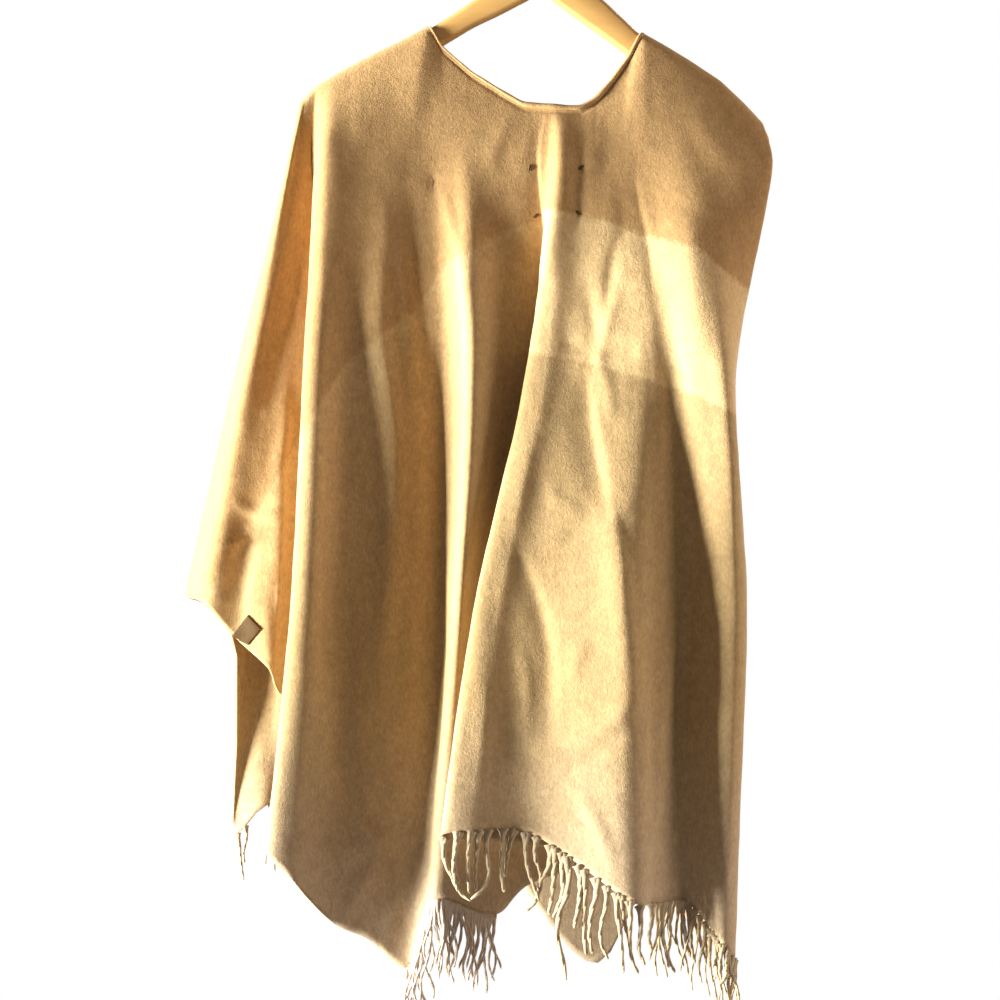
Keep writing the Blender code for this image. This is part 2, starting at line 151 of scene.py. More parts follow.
# Each row is one fold line that runs down the cloth: name, x at the shoulder,
# x at the four HEIGHTS, z of the lower edge, and the distance in front of the
# middle plane at the four HEIGHTS.
FRONT_FOLDS = (
    ("left_side", -245, -259, -311, -359, -407, -688, 0, 0, 0, 0),
    ("wing_face", -242, -256, -298, -334, -371, -694, 22, 26, 30, 30),
    ("wing_crest", -239, -249, -278, -300, -326, -728, 20, 24, 28, 26),
    ("wing_roll", -236, -241, -259, -266, -294, -756, 17, 21, 37, 36),
    ("wing_under", -233, -237, -245, -250, -261, -790, 15, 18, 20, 16),
    ("wing_turn", -230, -233, -204, -174, -160, -832, 14, 13, 10, 8),
    ("wing_turn_back", -229, -230, -201, -172, -157, -843, 17, 23, 22, 20),
    ("wing_return", -227, -229, -223, -219, -217, -882, 23, 36, 40, 40),
    ("edge_roll", -223, -228, -238, -248, -267, -919, 34, 58, 76, 86),
    ("edge_face", -213, -218, -224, -231, -246, -947, 45, 66, 83, 91),
    ("edge_dip", -195, -194, -199, -203, -208, -995, 42, 54, 61, 65),
    ("panel_roll", -160, -157, -158, -156, -169, -1014, 37, 47, 51, 53),
    ("panel_dip", -122, -137, -124, -123, -133, -1044, 34, 40, 42, 44),
    ("left_collar", -116, -116, -103, -106, -118, -1010, 32, 37, 40, 51),
    ("ridge_side", -107, -98, -88, -97, -112, -980, 34, 57, 66, 64),
    ("ridge_crest", -91, -82, -75, -86, -100, -973, 36, 75, 82, 72),
    ("ridge_dip", -58, -57, -44, -64, -58, -992, 35, 45, 46, 44),
    ("lap_inner", -26, -27, -15, -20, -20, -965, 34, 34, 28, 24),
    ("lap_turn", -9, -14, 10, 35, 53, -941, 33, 30, 26, 22),
    ("lap_turn_back", -5, -11, 9, 35, 52, -937, 35, 40, 40, 36),
    ("lap_return", -1, -5, -10, -14, -16, -923, 37, 50, 60, 64),
    ("lap_edge", 5, 3, -26, -72, -101, -909, 42, 66, 92, 106),
    ("lap_face", 15, 13, -9, -52, -80, -902, 44, 71, 97, 112),
    ("lap_dip", 34, 35, 14, -20, -20, -907, 42, 69, 93, 99),
    ("fall_roll", 60, 52, 74, 66, 69, -966, 39.5, 75, 108, 116),
    ("right_collar", 86, 74, 96, 98, 96, -972, 39.5, 74, 88, 92),
    ("fall_dip", 92, 92, 118, 126, 128, -977, 40, 70, 66, 67),
    ("right_roll", 150, 143, 165, 172, 166, -1016, 43, 84, 90, 86),
    ("right_turn", 203, 208, 176, 184, 177, -1033, 32, 41, 52, 52),
    ("tuck_under", 207.5, 209, 166, 152, 141, -1003, 22, 20, 23, 24),
    ("tuck_mid", 210, 210, 154, 117, 97, -976, 16, 14, 16, 18),
    ("tuck_corner", 211.5, 210, 140, 81, 60, -1044, 13, 11, 12, 13),
    ("tuck_edge", 212.5, 209.5, 126, 50, 8, -993, 10, 8, 9, 9),
    ("tuck_rim", 213.3, 209, 118, 21, -68, -870, 7, 5, 5, 5),
    ("right_side", 214, 208.5, 115, 17, -77, -740, 0, 0, 0, 0),
)
BACK_FOLDS = (
    ("left_side", -245, -259, -311, -359, -407, -688, 0, 0, 0, 0),
    ("wing_back", -241, -255, -300, -336, -368, -700, 9, 14, 18, 20),
    ("wing_edge", -236, -248, -282, -306, -322, -748, 14, 18, 24, 28),
    ("wing_corner", -228, -240, -268, -292, -315, -918, 18, 28, 38, 46),
    ("hem_fold_a", -213, -219, -238, -260, -282, -896, 18, 20, 26, 30),
    ("hem_roll_a", -189, -191, -201, -215, -228, -906, 20, 34, 46, 58),
    ("hem_fold_b", -156, -154, -156, -162, -170, -918, 20, 26, 28, 28),
    ("hem_roll_b", -122, -124, -122, -124, -126, -922, 22, 38, 54, 68),
    ("left_collar", -116, -116, -109, -107, -105, -920, 22, 36, 48, 58),
    ("hem_fold_c", -87, -85, -81, -79, -77, -910, 24, 28, 30, 30),
    ("hem_roll_c", -48, -46, -42, -40, -36, -891, 26, 40, 58, 72),
    ("hem_fold_d", -3, -1, 1, 1, 3, -883, 28, 32, 32, 30),
    ("hem_roll_d", 42, 46, 48, 48, 48, -891, 26, 42, 60, 76),
    ("right_collar", 86, 87, 87, 87, 87, -899, 23, 30, 36, 42),
    ("hem_fold_e", 92, 95, 101, 105, 107, -903, 22, 28, 30, 30),
    ("back_roll", 148, 150, 148, 152, 152, -906, 22, 40, 58, 70),
    ("back_slope", 174, 180, 163, 168, 166, -905, 23, 37, 52, 60),
    ("back_turn", 198, 207, 175, 183, 179, -903, 24, 32, 42, 46),
    ("back_under", 207, 209, 166, 150, 140, -899, 18, 18, 20, 22),
    ("back_corner", 211, 209.5, 140, 87, 60, -887, 13, 10, 11, 12),
    ("back_rim", 213, 209, 118, 21, -68, -830, 7, 5, 5, 5),
    ("right_side", 214, 208.5, 115, 17, -77, -740, 0, 0, 0, 0),
)
FRONT_HIDDEN = (
    ("wing_turn", "wing_return"),
    ("lap_inner", "lap_return"),
    ("tuck_under", "right_side"),
)

# Creases of the front: first and last fold line of the stretch of cloth they
# lie in, width on the left and on the right of their path, height (troughs are
# below nought), and the path in the photograph's pixels
FRONT_CREASES = (
    ("lap_return", "fall_dip", 6, 11, 3.8, ((560, 116), (560, 150), (558, 190), (552, 235), (545, 285))),
    ("lap_return", "fall_dip", 9, 8, -1.3, ((581, 126), (580, 165), (578, 205), (575, 240))),
    ("ridge_crest", "lap_inner", 7, 3, -2.2, ((528, 140), (530, 175), (537, 216), (538, 240))),
    ("fall_roll", "right_turn", 30, 4, -1.7, ((632, 170), (636, 190), (641, 215), (648, 243), (651, 285))),
    ("lap_face", "right_turn", 40, 14, 5.0, ((688, 210), (690, 260), (694, 310), (702, 365))),
    ("fall_roll", "right_turn", 14, 10, 2.6, ((690, 330), (698, 420), (712, 500), (722, 600))),
    ("lap_return", "right_collar", 5, 8, -1.4, ((624, 224), (614, 252), (609, 280), (607, 312))),
    ("lap_face", "right_collar", 6, 6, 1.4, ((618, 290), (608, 322), (600, 350))),
    ("lap_face", "right_collar", 8, 7, -1.4, ((585, 285), (592, 320), (598, 350))),
    ("lap_face", "right_collar", 6, 7, 2.0, ((597, 352), (600, 366), (606, 382), (612, 420))),
    ("lap_face", "right_collar", 5, 5, -1.8, ((560, 344), (580, 350), (598, 352))),
    ("lap_face", "right_collar", 6, 6, -1.8, ((640, 352), (620, 352), (602, 353))),
    ("lap_face", "fall_dip", 22, 5, -4.0, ((586, 372), (589, 410), (596, 455), (604, 495), (611, 524))),
    ("lap_face", "fall_dip", 18, 5, 4.6,
     ((605, 492), (618, 535), (625, 585), (630, 635), (634, 690), (628, 745))),
    ("lap_face", "fall_roll", 20, 22, 1.6,
     ((570, 330), (566, 385), (552, 480), (532, 600), (530, 700), (528, 800))),
    ("lap_face", "fall_dip", 4, 5, 1.6, ((610, 516), (624, 512), (640, 503))),
    ("lap_face", "fall_roll", 5, 4, 1.5, ((548, 486), (556, 500), (572, 505), (584, 515))),
    ("lap_face", "fall_roll", 4, 4, -1.5, ((560, 540), (576, 530), (590, 528), (602, 534))),
    ("lap_face", "fall_roll", 12, 6, -3.2, ((513, 547), (530, 583), (543, 620), (549, 670), (548, 740))),
    ("lap_face", "fall_roll", 5, 4, 1.8, ((585, 640), (578, 660), (572, 684))),
    ("lap_face", "fall_dip", 5, 6, 2.2, ((560, 742), (585, 736), (610, 724), (636, 700))),
    ("lap_face", "fall_dip", 7, 6, -2.0, ((566, 760), (592, 752), (618, 738), (640, 716))),
    ("lap_face", "fall_dip", 6, 6, 1.6, ((576, 790), (590, 812), (604, 840), (612, 872))),
    ("lap_face", "fall_dip", 6, 5, 1.5, ((520, 640), (528, 690), (524, 740))),
    ("lap_edge", "lap_dip", 8, 8, 1.6, ((486, 600), (480, 660), (484, 720), (478, 790))),
    ("lap_edge", "lap_dip", 7, 7, 1.5, ((532, 430), (522, 480), (512, 530))),
    ("fall_roll", "right_turn", 8, 8, -4.0, ((691, 560), (686, 650), (678, 740), (672, 840), (668, 905))),
    ("fall_roll", "right_turn", 8, 4, 2.4, ((676, 610), (669, 675), (660, 745), (654, 830), (645, 892))),
    ("fall_roll", "right_turn", 8, 8, 2.4, ((716, 560), (722, 650), (718, 740), (714, 830), (712, 900))),
    ("right_roll", "right_turn", 7, 7, -1.8, ((736, 330), (728, 410), (734, 500), (736, 590))),
    ("fall_dip", "right_turn", 12, 12, 0.7, ((690, 110), (712, 140), (738, 175), (756, 210))),
    ("fall_dip", "right_turn", 14, 12, -0.6, ((668, 90), (690, 135), (716, 180), (742, 232))),
    ("edge_roll", "panel_dip", 12, 16, -1.6,
     ((368, 215), (358, 300), (347, 380), (341, 480), (338, 600), (345, 700))),
    ("edge_dip", "left_collar", 14, 9, 4.2,
     ((386, 205), (379, 330), (391, 400), (395, 500), (384, 620), (378, 720))),
    ("panel_roll", "ridge_side", 9, 9, -4.2,
     ((411, 190), (418, 285), (429, 400), (431, 520), (427, 640), (422, 780))),
    ("panel_dip", "ridge_crest", 9, 4, -4.0,
     ((436, 330), (440, 400), (442, 480), (442, 600), (439, 700), (431, 800), (427, 890))),
    ("left_collar", "ridge_dip", 5, 6, 2.4, ((441, 190), (452, 225), (462, 262), (466, 320))),
    ("ridge_side", "lap_inner", 10, 10, -2.0, ((500, 300), (512, 380), (506, 450), (494, 540))),
    ("edge_roll", "panel_dip", 6, 5, 2.0, ((292, 819), (306, 840), (322, 861), (335, 878))),
    ("edge_roll", "panel_dip", 5, 6, 2.0, ((340, 924), (352, 902), (366, 878), (380, 852))),
    ("panel_roll", "ridge_side", 5, 5, 1.8, ((377, 947), (386, 928), (396, 908), (405, 888))),
    ("edge_roll", "panel_dip", 14, 10, 1.8, ((314, 330), (313, 450), (309, 600), (306, 700))),
    ("edge_roll", "panel_dip", 22, 12, 3.2, ((306, 640), (316, 720), (326, 800), (344, 880))),
    ("edge_face", "left_collar", 8, 6, 2.4, ((330, 800), (352, 822), (378, 838), (404, 846))),
    ("edge_face", "left_collar", 7, 7, 2.2, ((318, 852), (346, 850), (372, 842), (396, 826))),
    ("panel_roll", "ridge_side", 7, 8, 2.0, ((356, 760), (376, 776), (398, 784), (420, 780))),
    ("edge_face", "panel_dip", 10, 12, -1.6, ((318, 520), (326, 600), (322, 690))),
    ("edge_face", "panel_dip", 9, 9, 1.4, ((356, 560), (362, 640), (358, 730), (372, 800))),
    ("edge_roll", "panel_dip", 12, 12, 1.0, ((318, 130), (336, 180), (338, 240), (330, 300))),
    ("edge_roll", "ridge_dip", 12, 12, -0.6, ((400, 60), (392, 100), (372, 150), (352, 190))),
    ("edge_face", "ridge_dip", 10, 10, 0.6, ((455, 84), (442, 120), (428, 160), (420, 200))),
    ("ridge_crest", "lap_inner", 10, 5, 0.9, ((520, 114), (508, 128), (497, 146), (490, 172))),
    ("ridge_crest", "lap_inner", 5, 4, -0.8, ((516, 160), (500, 168), (484, 178))),
    ("left_side", "wing_under", 5, 6, 2.8, ((232, 500), (250, 512), (270, 514), (292, 500))),
    ("left_side", "wing_under", 6, 5, 2.6, ((206, 546), (222, 544), (238, 540), (252, 528))),
    ("left_side", "wing_under", 10, 24, 3.2, ((222, 520), (212, 556), (202, 590))),
    ("left_side", "wing_under", 22, 13, -2.6, ((252, 530), (244, 562), (230, 600))),
    ("left_side", "wing_under", 8, 4, 2.0, ((214, 548), (228, 539), (246, 536), (262, 530))),
    ("left_side", "wing_under", 13, 11, 2.0, ((272, 408), (262, 440), (252, 480), (246, 505))),
    ("left_side", "wing_under", 6, 6, 1.8, ((288, 404), (284, 440), (276, 480))),
    ("left_side", "wing_under", 5, 5, -1.5, ((226, 434), (236, 424), (250, 416), (264, 414))),
    ("wing_roll", "wing_turn", 7, 7, 2.6, ((270, 632), (280, 650), (290, 672))),
    ("left_side", "wing_under", 8, 8, 2.6, ((262, 520), (256, 570), (252, 610), (258, 640))),
    ("left_side", "wing_under", 5, 6, -2.4, ((280, 560), (274, 600), (276, 640))),
    ("left_side", "wing_under", 7, 7, 1.8, ((296, 190), (280, 260), (262, 330), (246, 400))),
    ("left_side", "wing_under", 8, 8, -1.8, ((300, 260), (284, 330), (272, 400), (262, 470))),
    ("left_side", "wing_under", 5, 5, 1.8, ((262, 640), (272, 655), (281, 672))),
)

# The same for the back, in pixels as if seen through the front
BACK_CREASES = (
    ("wing_back", "hem_fold_a", 8, 8, 2.0, ((276, 300), (262, 400), (256, 500), (262, 580))),
    ("wing_edge", "hem_fold_b", 20, 16, 12.0, ((262, 640), (266, 700), (268, 760), (270, 812))),
    ("wing_back", "hem_fold_a", 6, 7, 1.8, ((247, 778), (257, 800), (262, 812))),
    ("hem_fold_a", "hem_fold_b", 9, 9, -2.6, ((368, 190), (356, 300), (346, 430), (340, 560))),
    ("hem_roll_a", "left_collar", 8, 10, 2.6, ((398, 170), (404, 280), (410, 420), (408, 560))),
    ("hem_roll_a", "left_collar", 6, 6, 1.6, ((382, 640), (394, 700), (390, 770))),
    ("left_collar", "hem_fold_d", 9, 8, -2.4, ((470, 160), (474, 260), (468, 380), (472, 480))),
    ("left_collar", "hem_fold_d", 6, 6, 1.7, ((452, 560), (470, 580), (496, 576))),
    ("hem_roll_c", "hem_roll_d", 8, 7, 2.2, ((548, 150), (550, 240), (544, 340), (552, 460))),
    ("hem_roll_c", "hem_roll_d", 5, 6, 1.6, ((520, 660), (540, 690), (566, 700))),
    ("hem_fold_d", "hem_fold_e", 9, 9, -2.6, ((606, 170), (604, 300), (598, 430), (604, 560))),
    ("right_collar", "back_slope", 8, 8, 2.4, ((650, 190), (660, 300), (668, 430), (660, 560))),
    ("right_collar", "back_slope", 6, 6, -1.6, ((676, 620), (684, 700), (678, 790))),
    ("back_roll", "back_under", 7, 7, 2.0, ((728, 300), (714, 400), (722, 520), (726, 640))),
    ("hem_fold_a", "left_collar", 8, 8, 1.5, ((330, 120), (352, 170), (360, 230))),
    ("right_collar", "back_turn", 8, 8, 1.6, ((690, 90), (704, 140), (712, 210))),
)

# Small places where the cloth is drawn in: x and y in the photograph, radius, depth
PITS = (
    (433, 183, 4.0, 2.4),
    (530, 168, 4.0, 1.5),
    (580, 168, 4.0, 1.5),
    (537, 215, 4.0, 1.5),
    (578, 213, 4.0, 1.5),
)
# Tack stitches in four of them: x, y and lean of the thread
TACKS = ((530, 168, 0.25), (581, 168, 0.8), (536, 216, 0.9), (578, 213, -0.9))

# Woven colour bands: x in the photograph and y of the two edges of the pale band
RIGHT_BAND = ((520, 204, 352), (560, 212, 357), (605, 222, 367),
              (640, 235, 378), (700, 250, 396), (745, 290, 420))
LEFT_BAND = ((180, 640, 800), (340, 372, 560), (378, 338, 530), (400, 321, 500), (420, 304, 470),
             (440, 272, 440), (460, 256, 430), (480, 245, 420), (500, 234, 410), (531, 223, 400))
LEFT_BAND_STRENGTH = 0.5
BACK_BLEND = (420.0, 570.0)
TAUPE_TOP = 690.0
TAUPE_FULL = 900.0

# Loose strands under the right half of the front: the photograph's x and y down each
LAP_STRANDS = (
    ((446, 841), (446, 862), (453, 879), (463, 897), (473, 904)),
    ((457, 837), (454, 851), (453, 870), (457, 890)),
    ((463, 836), (460, 854), (458, 874), (462, 896)),
    ((471, 834), (468, 856), (468, 877), (469, 898)),
    ((480, 832), (478, 851), (476, 872), (477, 894)),
    ((490, 829), (488, 849), (491, 872), (488, 884), (481, 894), (472, 901)),
    ((502, 828), (501, 849), (500, 872), (503, 892)),
    ((514, 828), (510, 842), (507, 856), (505, 876)),
    ((526, 832), (526, 853), (529, 872), (535, 888), (539, 900)),
    ((538, 837), (537, 858), (542, 873), (541, 888)),
    ((551, 844), (550, 860), (546, 872), (541, 878), (539, 890), (533, 904), (525, 911)),
    ((558, 849), (556, 867), (555, 883), (553, 900), (550, 916)),
    ((564, 852), (564, 872), (565, 890), (561, 904), (555, 918)),
    ((571, 862), (572, 881), (570, 899), (563, 918), (560, 941), (565, 962), (569, 985)),
    ((578, 867), (579, 886), (577, 908), (572, 930)),
    ((585, 872), (585, 895), (584, 918), (584, 941), (586, 958)),
    ((595, 883), (595, 899), (590, 918), (588, 941), (591, 960)),
    ((605, 892), (604, 911), (599, 932), (599, 950), (606, 966)),
    ((615, 897), (615, 918), (618, 934), (620, 959), (621, 977)),
    ((622, 899), (624, 918), (628, 938), (630, 952)),
    ((630, 901), (632, 918), (631, 936), (633, 959), (640, 975)),
    ((640, 903), (641, 927), (639, 946), (645, 962)),
    ((651, 902), (652, 918), (649, 937), (652, 950)),
    ((662, 904), (663, 922), (664, 941), (668, 957), (670, 971)),
    ((669, 908), (670, 927), (671, 945), (669, 964), (676, 980)),
    ((681, 932), (685, 955), (687, 971), (692, 990)),
    ((694, 938), (691, 952), (690, 971), (694, 992)),
    ((705, 945), (704, 964), (706, 981)),
    ((712, 950), (715, 968), (711, 985)),
    ((718, 954), (720, 971), (722, 987), (715, 998)),
    ((726, 959), (726, 976), (725, 987), (718, 996)),
)

# The only two strands that show at the back's corner, beside the wing
CORNER_STRANDS = (
    ((240, 826), (242, 838), (243, 852), (246, 873)),
    ((249, 824), (250, 836), (247, 851), (248, 862)),
)

# Colours of the woven bands and of the other materials
SHOULDER_TAN = (0.46, 0.272, 0.12, 1.0)
BAND_CREAM = (0.66, 0.455, 0.235, 1.0)
LOWER_BEIGE = (0.455, 0.305, 0.15, 1.0)
HEM_TAUPE = (0.47, 0.345, 0.232, 1.0)
YARN_PALE = (0.47, 0.355, 0.23, 1.0)
YARN_GREY = (0.66, 0.53, 0.45, 1.0)
WOOL_PATCH = (0.40, 0.24, 0.10, 1.0)
WOOL_SHEEN = (1.0, 0.86, 0.62, 1.0)
YARN_PATCH = (0.52, 0.37, 0.22, 1.0)
TAG_BROWN = (0.075, 0.04, 0.014, 1.0)
TAG_GRAIN = (0.105, 0.06, 0.024, 1.0)
TAG_EDGE = (0.08, 0.04, 0.018, 1.0)
THREAD_BROWN = (0.07, 0.035, 0.015, 1.0)
THREAD_LIGHT = (0.14, 0.08, 0.04, 1.0)
WOOD_LIGHT = (0.76, 0.46, 0.17, 1.0)
WOOD_DARK = (0.58, 0.32, 0.10, 1.0)
WOOD_PORES = (0.36, 0.17, 0.05, 1.0)
STEEL_DARK = (0.45, 0.45, 0.46, 1.0)
STEEL_LIGHT = (0.72, 0.72, 0.73, 1.0)
GROUND_WHITE = (1.0, 1.0, 1.0, 1.0)
FLOOR_WHITE = (0.9, 0.9, 0.9, 1.0)
FILL_WARM = (1.0, 0.85, 0.72, 1.0)

# Area lights: name, place and size in metres, power in watts, colour
LIGHT_TARGET = (-0.05, 0.0, -0.6)
LIGHTS = (
    ("key", (-8.0, -1.6, -1.6), 2.6, 4300.0, (0.98, 1.0, 0.9)),
    ("side", (4.1, -0.6, -0.3), 2.5, 130.0, (1.0, 0.86, 0.72)),
    ("back", (1.6, 3.4, 0.4), 2.0, 110.0, (1.0, 0.97, 0.92)),
)
FILL_STRENGTH = 0.2
FLOOR_HALF = 1300.0
FLOOR_Z = -3600.0

# The tag's corners in the photograph, and its thickness
TAG_CORNERS = ((249, 615), (262, 629), (249, 645), (231, 637))
TAG_THICKNESS = 0.7


def through(knots, values, at):
    """Smooth curve through values at rising knots, straight past the ends."""
    knots, values, at = (np.asarray(a, float) for a in (knots, values, at))
    places = np.arange(len(knots))
    before = np.maximum(places - 1, 0)
    after = np.minimum(places + 1, len(knots) - 1)
    slopes = (values[after] - values[before]) / (knots[after] - knots[before])
    i = np.clip(np.searchsorted(knots, at, side="right") - 1, 0, len(knots) - 2)
    span = knots[i + 1] - knots[i]
    t = np.clip((at - knots[i]) / span, 0.0, 1.0)
    inside = (
        (2 * t ** 3 - 3 * t ** 2 + 1) * values[i]
        + (t ** 3 - 2 * t ** 2 + t) * span * slopes[i]
        + (3 * t ** 2 - 2 * t ** 3) * values[i + 1]
        + (t ** 3 - t ** 2) * span * slopes[i + 1]
    )
    low = np.minimum(at - knots[0], 0.0) * slopes[0]
    high = np.maximum(at - knots[-1], 0.0) * slopes[-1]
    return inside + low + high


def straight(rows, at, column):
    """Values of one column of a table at x, on straight lines between its rows."""
    return np.interp(at, [row[0] for row in rows], [row[column] for row in rows])


def line_at(folds, name):
    """Where a named fold line stands in its table."""
    return [row[0] for row in folds].index(name)


def between(stations, folds, first, last):
    """Which stations lie from one named fold line to another."""
    return (stations >= line_at(folds, first)) & (stations <= line_at(folds, last))


def tops_at(stations, folds):
    """x at the shoulder of each station."""
    return np.interp(stations, np.arange(len(folds)), [row[1] for row in folds])


def running_length(points):
    """Length along a path at each of its points."""
    steps = np.linalg.norm(np.diff(points, axis=0), axis=1)
    return np.concatenate([[0.0], np.cumsum(steps)])


def unit(vectors, axis=1):
    """The same vectors with length one."""
    return vectors / np.maximum(np.linalg.norm(vectors, axis=axis, keepdims=True), 1e-9)


def shoulder_z(x):
    """Height of the cloth's middle where it lies on the hanger, or past its ends."""
    on_arm = [(row[0], row[1] + ARM_CLEARANCE) for row in ARM_SECTIONS]
    on_arm = [row for row in on_arm if row[0] < RIGHT_SHOULDER_END[0][0]]
    return straight(list(LEFT_SHOULDER_END) + on_arm + list(RIGHT_SHOULDER_END), x, 1)


def corner_drop(share):
    """Drop below the shoulder line as the neck's edge bends over the arm."""
    return BEND_RADIUS * (1.0 - math.cos(share * math.pi / 2))


def top_edge(x, side):
    """Height and reach of the cloth's upper edge; side is 1 for front, 2 for back."""
    if x <= NECK_LEFT or x >= NECK_RIGHT:
        return shoulder_z(x), HANG_REACH
    if x <= NECK_LEFT_FOOT:
        share = (x - NECK_LEFT) / (NECK_LEFT_FOOT - NECK_LEFT)
        return shoulder_z(x) - corner_drop(share), HANG_REACH
    if x >= NECK_RIGHT_FOOT:
        share = (NECK_RIGHT - x) / (NECK_RIGHT - NECK_RIGHT_FOOT)
        return shoulder_z(x) - corner_drop(share), HANG_REACH
    left = (NECK_LEFT_FOOT,) + (shoulder_z(NECK_LEFT_FOOT) - BEND_RADIUS,) * 2 + (HANG_REACH,)
    right = (NECK_RIGHT_FOOT,) + (shoulder_z(NECK_RIGHT_FOOT) - BEND_RADIUS,) * 2 + (HANG_REACH,)
    rows = (left,) + NECK + (right,)
    return straight(rows, x, side), straight(rows, x, 3)


def bend_share(x, z):
    """0 on the shoulder line, 1 once the cloth has bent over the hanger's arm."""
    drop = np.clip(shoulder_z(x) - z, 0.0, BEND_RADIUS)
    return np.sin(np.arccos(1.0 - drop / BEND_RADIUS))


def stations_of(folds, step, hidden=()):
    """Places across the cloth, counted in fold lines, closer where the cloth is wide."""
    coarse = [(line_at(folds, a), line_at(folds, b)) for a, b in hidden]
    places = []
    for i in range(len(folds) - 1):
        low, high = folds[i], folds[i + 1]
        widest = max(math.hypot(low[k] - high[k], low[k + 5] - high[k + 5]) for k in (2, 3, 4, 5))
        wanted = HIDDEN_STEP if any(a <= i < b for a, b in coarse) else step
        count = max(2, math.ceil(widest / wanted))
        places += [i + k / count for k in range(count)]
    return np.array(places + [len(folds) - 1.0])


def cloth_grid(folds, side, stations):
    """Points of the cloth's middle surface as lines down it, in millimetres."""
    whole = np.arange(len(folds))
    columns = [through(whole, [row[c] for row in folds], stations) for c in range(1, 11)]
    columns[0] = tops_at(stations, folds)
    sign = -1.0 if side == 1 else 1.0
    angles = np.linspace(FIRST_BEND, math.pi / 2, BEND_ROWS)
    bends = BEND_RADIUS * (1.0 - np.cos(angles))
    falls = np.arange(1, HANG_ROWS + 1) / HANG_ROWS
    lines = []
    for i, values in enumerate(zip(*columns)):
        top_x, hem_z, reaches = values[0], values[5], values[6:]
        top_z, start = top_edge(top_x, side)
        edge = i in (0, len(stations) - 1)
        knots = -np.array((top_z,) + HEIGHTS)
        xs = (top_x,) + tuple(values[1:5])
        ys = ((0.0 if edge else min(start, reaches[0])),) + tuple(reaches)
        z = np.concatenate([top_z - bends, top_z - bends[-1] + (hem_z - top_z + bends[-1]) * falls])
        x = through(knots, xs, -z)
        y = sign * np.maximum(through(knots, ys, -z) * bend_share(top_x, z), 0.0)
        lines.append(np.stack([x, y, z], axis=1))
    return np.array(lines)


def seen_pixels(points):
    """Where points of the object, in millimetres, show in the photograph."""
    grow = CAMERA_DISTANCE / (CAMERA_DISTANCE + points[..., 1])
    x = CAMERA_CENTRE[0] + (points[..., 0] - CAMERA_CENTRE[0]) * grow
    z = CAMERA_CENTRE[1] + (points[..., 2] - CAMERA_CENTRE[1]) * grow
    return x / PIXEL + PHOTO_ZERO[0], -z / PIXEL + PHOTO_ZERO[1]


def flat_pixels(points):
    """The same for a view without perspective, which is used for the back."""
    return points[..., 0] / PIXEL + PHOTO_ZERO[0], -points[..., 2] / PIXEL + PHOTO_ZERO[1]


def place_of(px, py, depth):
    """The point at that depth, in millimetres, that shows at a pixel of the photograph."""
    shrink = (CAMERA_DISTANCE + depth) / CAMERA_DISTANCE
    x = (px - PHOTO_ZERO[0]) * PIXEL
    z = -(py - PHOTO_ZERO[1]) * PIXEL
    return np.array([
        CAMERA_CENTRE[0] + (x - CAMERA_CENTRE[0]) * shrink,
        depth,
        CAMERA_CENTRE[1] + (z - CAMERA_CENTRE[1]) * shrink,
    ])


def outward(lines, side):
    """Unit vectors that point out of the cloth at each point of its grid."""
    across = np.gradient(lines, axis=0)
    down = np.gradient(lines, axis=1)
    away = np.cross(across, down)
    return unit(-away if side == 1 else away, axis=2)


def smooth_path(points, count):
    """count points evenly spread along a smooth path through the given ones."""
    points = np.array(points, float)
    knots = running_length(points)
    at = np.linspace(0.0, knots[-1], count)
    return np.stack([through(knots, points[:, c], at) for c in range(points.shape[1])], axis=1)


def crease_relief(px, py, stations, folds, creases):
    """How far each point of the cloth is raised by the listed creases."""
    relief = np.zeros_like(px)
    index = np.broadcast_to(stations[:, None], px.shape)
    x, y = px * PIXEL, py * PIXEL
    for first, last, left, right, rise, path in creases:
        path = smooth_path(path, 18) * PIXEL
        reach = 3.0 * max(left, right)
        near = between(index, folds, first, last)
        near &= (x > path[:, 0].min() - reach) & (x < path[:, 0].max() + reach)
        near &= (y > path[:, 1].min() - reach) & (y < path[:, 1].max() + reach)
        spot = np.stack([x[near], y[near]], axis=1)
        best = np.full(len(spot), 1e9)
        across = np.zeros(len(spot))
        along = np.zeros(len(spot))
        for k, (a, b) in enumerate(zip(path, path[1:])):
            way = b - a
            t = np.clip(((spot - a) @ way) / (way @ way), 0.0, 1.0)
            gap = spot - (a + t[:, None] * way)
            far = np.hypot(gap[:, 0], gap[:, 1])
            closer = far < best
            best[closer] = far[closer]
            across[closer] = (gap[:, 0] * way[1] - gap[:, 1] * way[0])[closer]
            along[closer] = ((k + t) / (len(path) - 1))[closer]
        width = np.where(across > 0.0, right, left)
        fade = np.sin(np.pi * np.clip(along, 0.0, 1.0)) ** 0.55
        edge = line_at(folds, last) - index[near]
        edge = np.minimum(edge, index[near] - line_at(folds, first))
        relief[near] += rise * np.exp(-(best / width) ** 2) * fade * np.clip(edge / 0.5, 0.0, 1.0)
    return relief


def pit_relief(px, py, index, folds, first, last):
    """How far the cloth sinks at its small drawn-in places."""
    inside = between(index, folds, first, last)
    relief = np.zeros_like(px)
    for x, y, radius, depth in PITS:
        far = np.hypot(px - x, py - y) * PIXEL
        relief -= np.where(inside, depth * np.exp(-(far / radius) ** 2), 0.0)
    return relief


def soft_waves(lines):
    """Low uneven swell of hanging woollen cloth, in millimetres."""
    flat = lines.reshape(-1, 3)
    swell = [
        0.75 * noise.noise(Vector((p[0] / 46.0, p[1] / 60.0, p[2] / 70.0)))
        + 0.40 * noise.noise(Vector((p[0] / 17.0, p[1] / 30.0, p[2] / 24.0 + 9.0)))
        for p in flat
    ]
    return np.array(swell).reshape(lines.shape[:2])


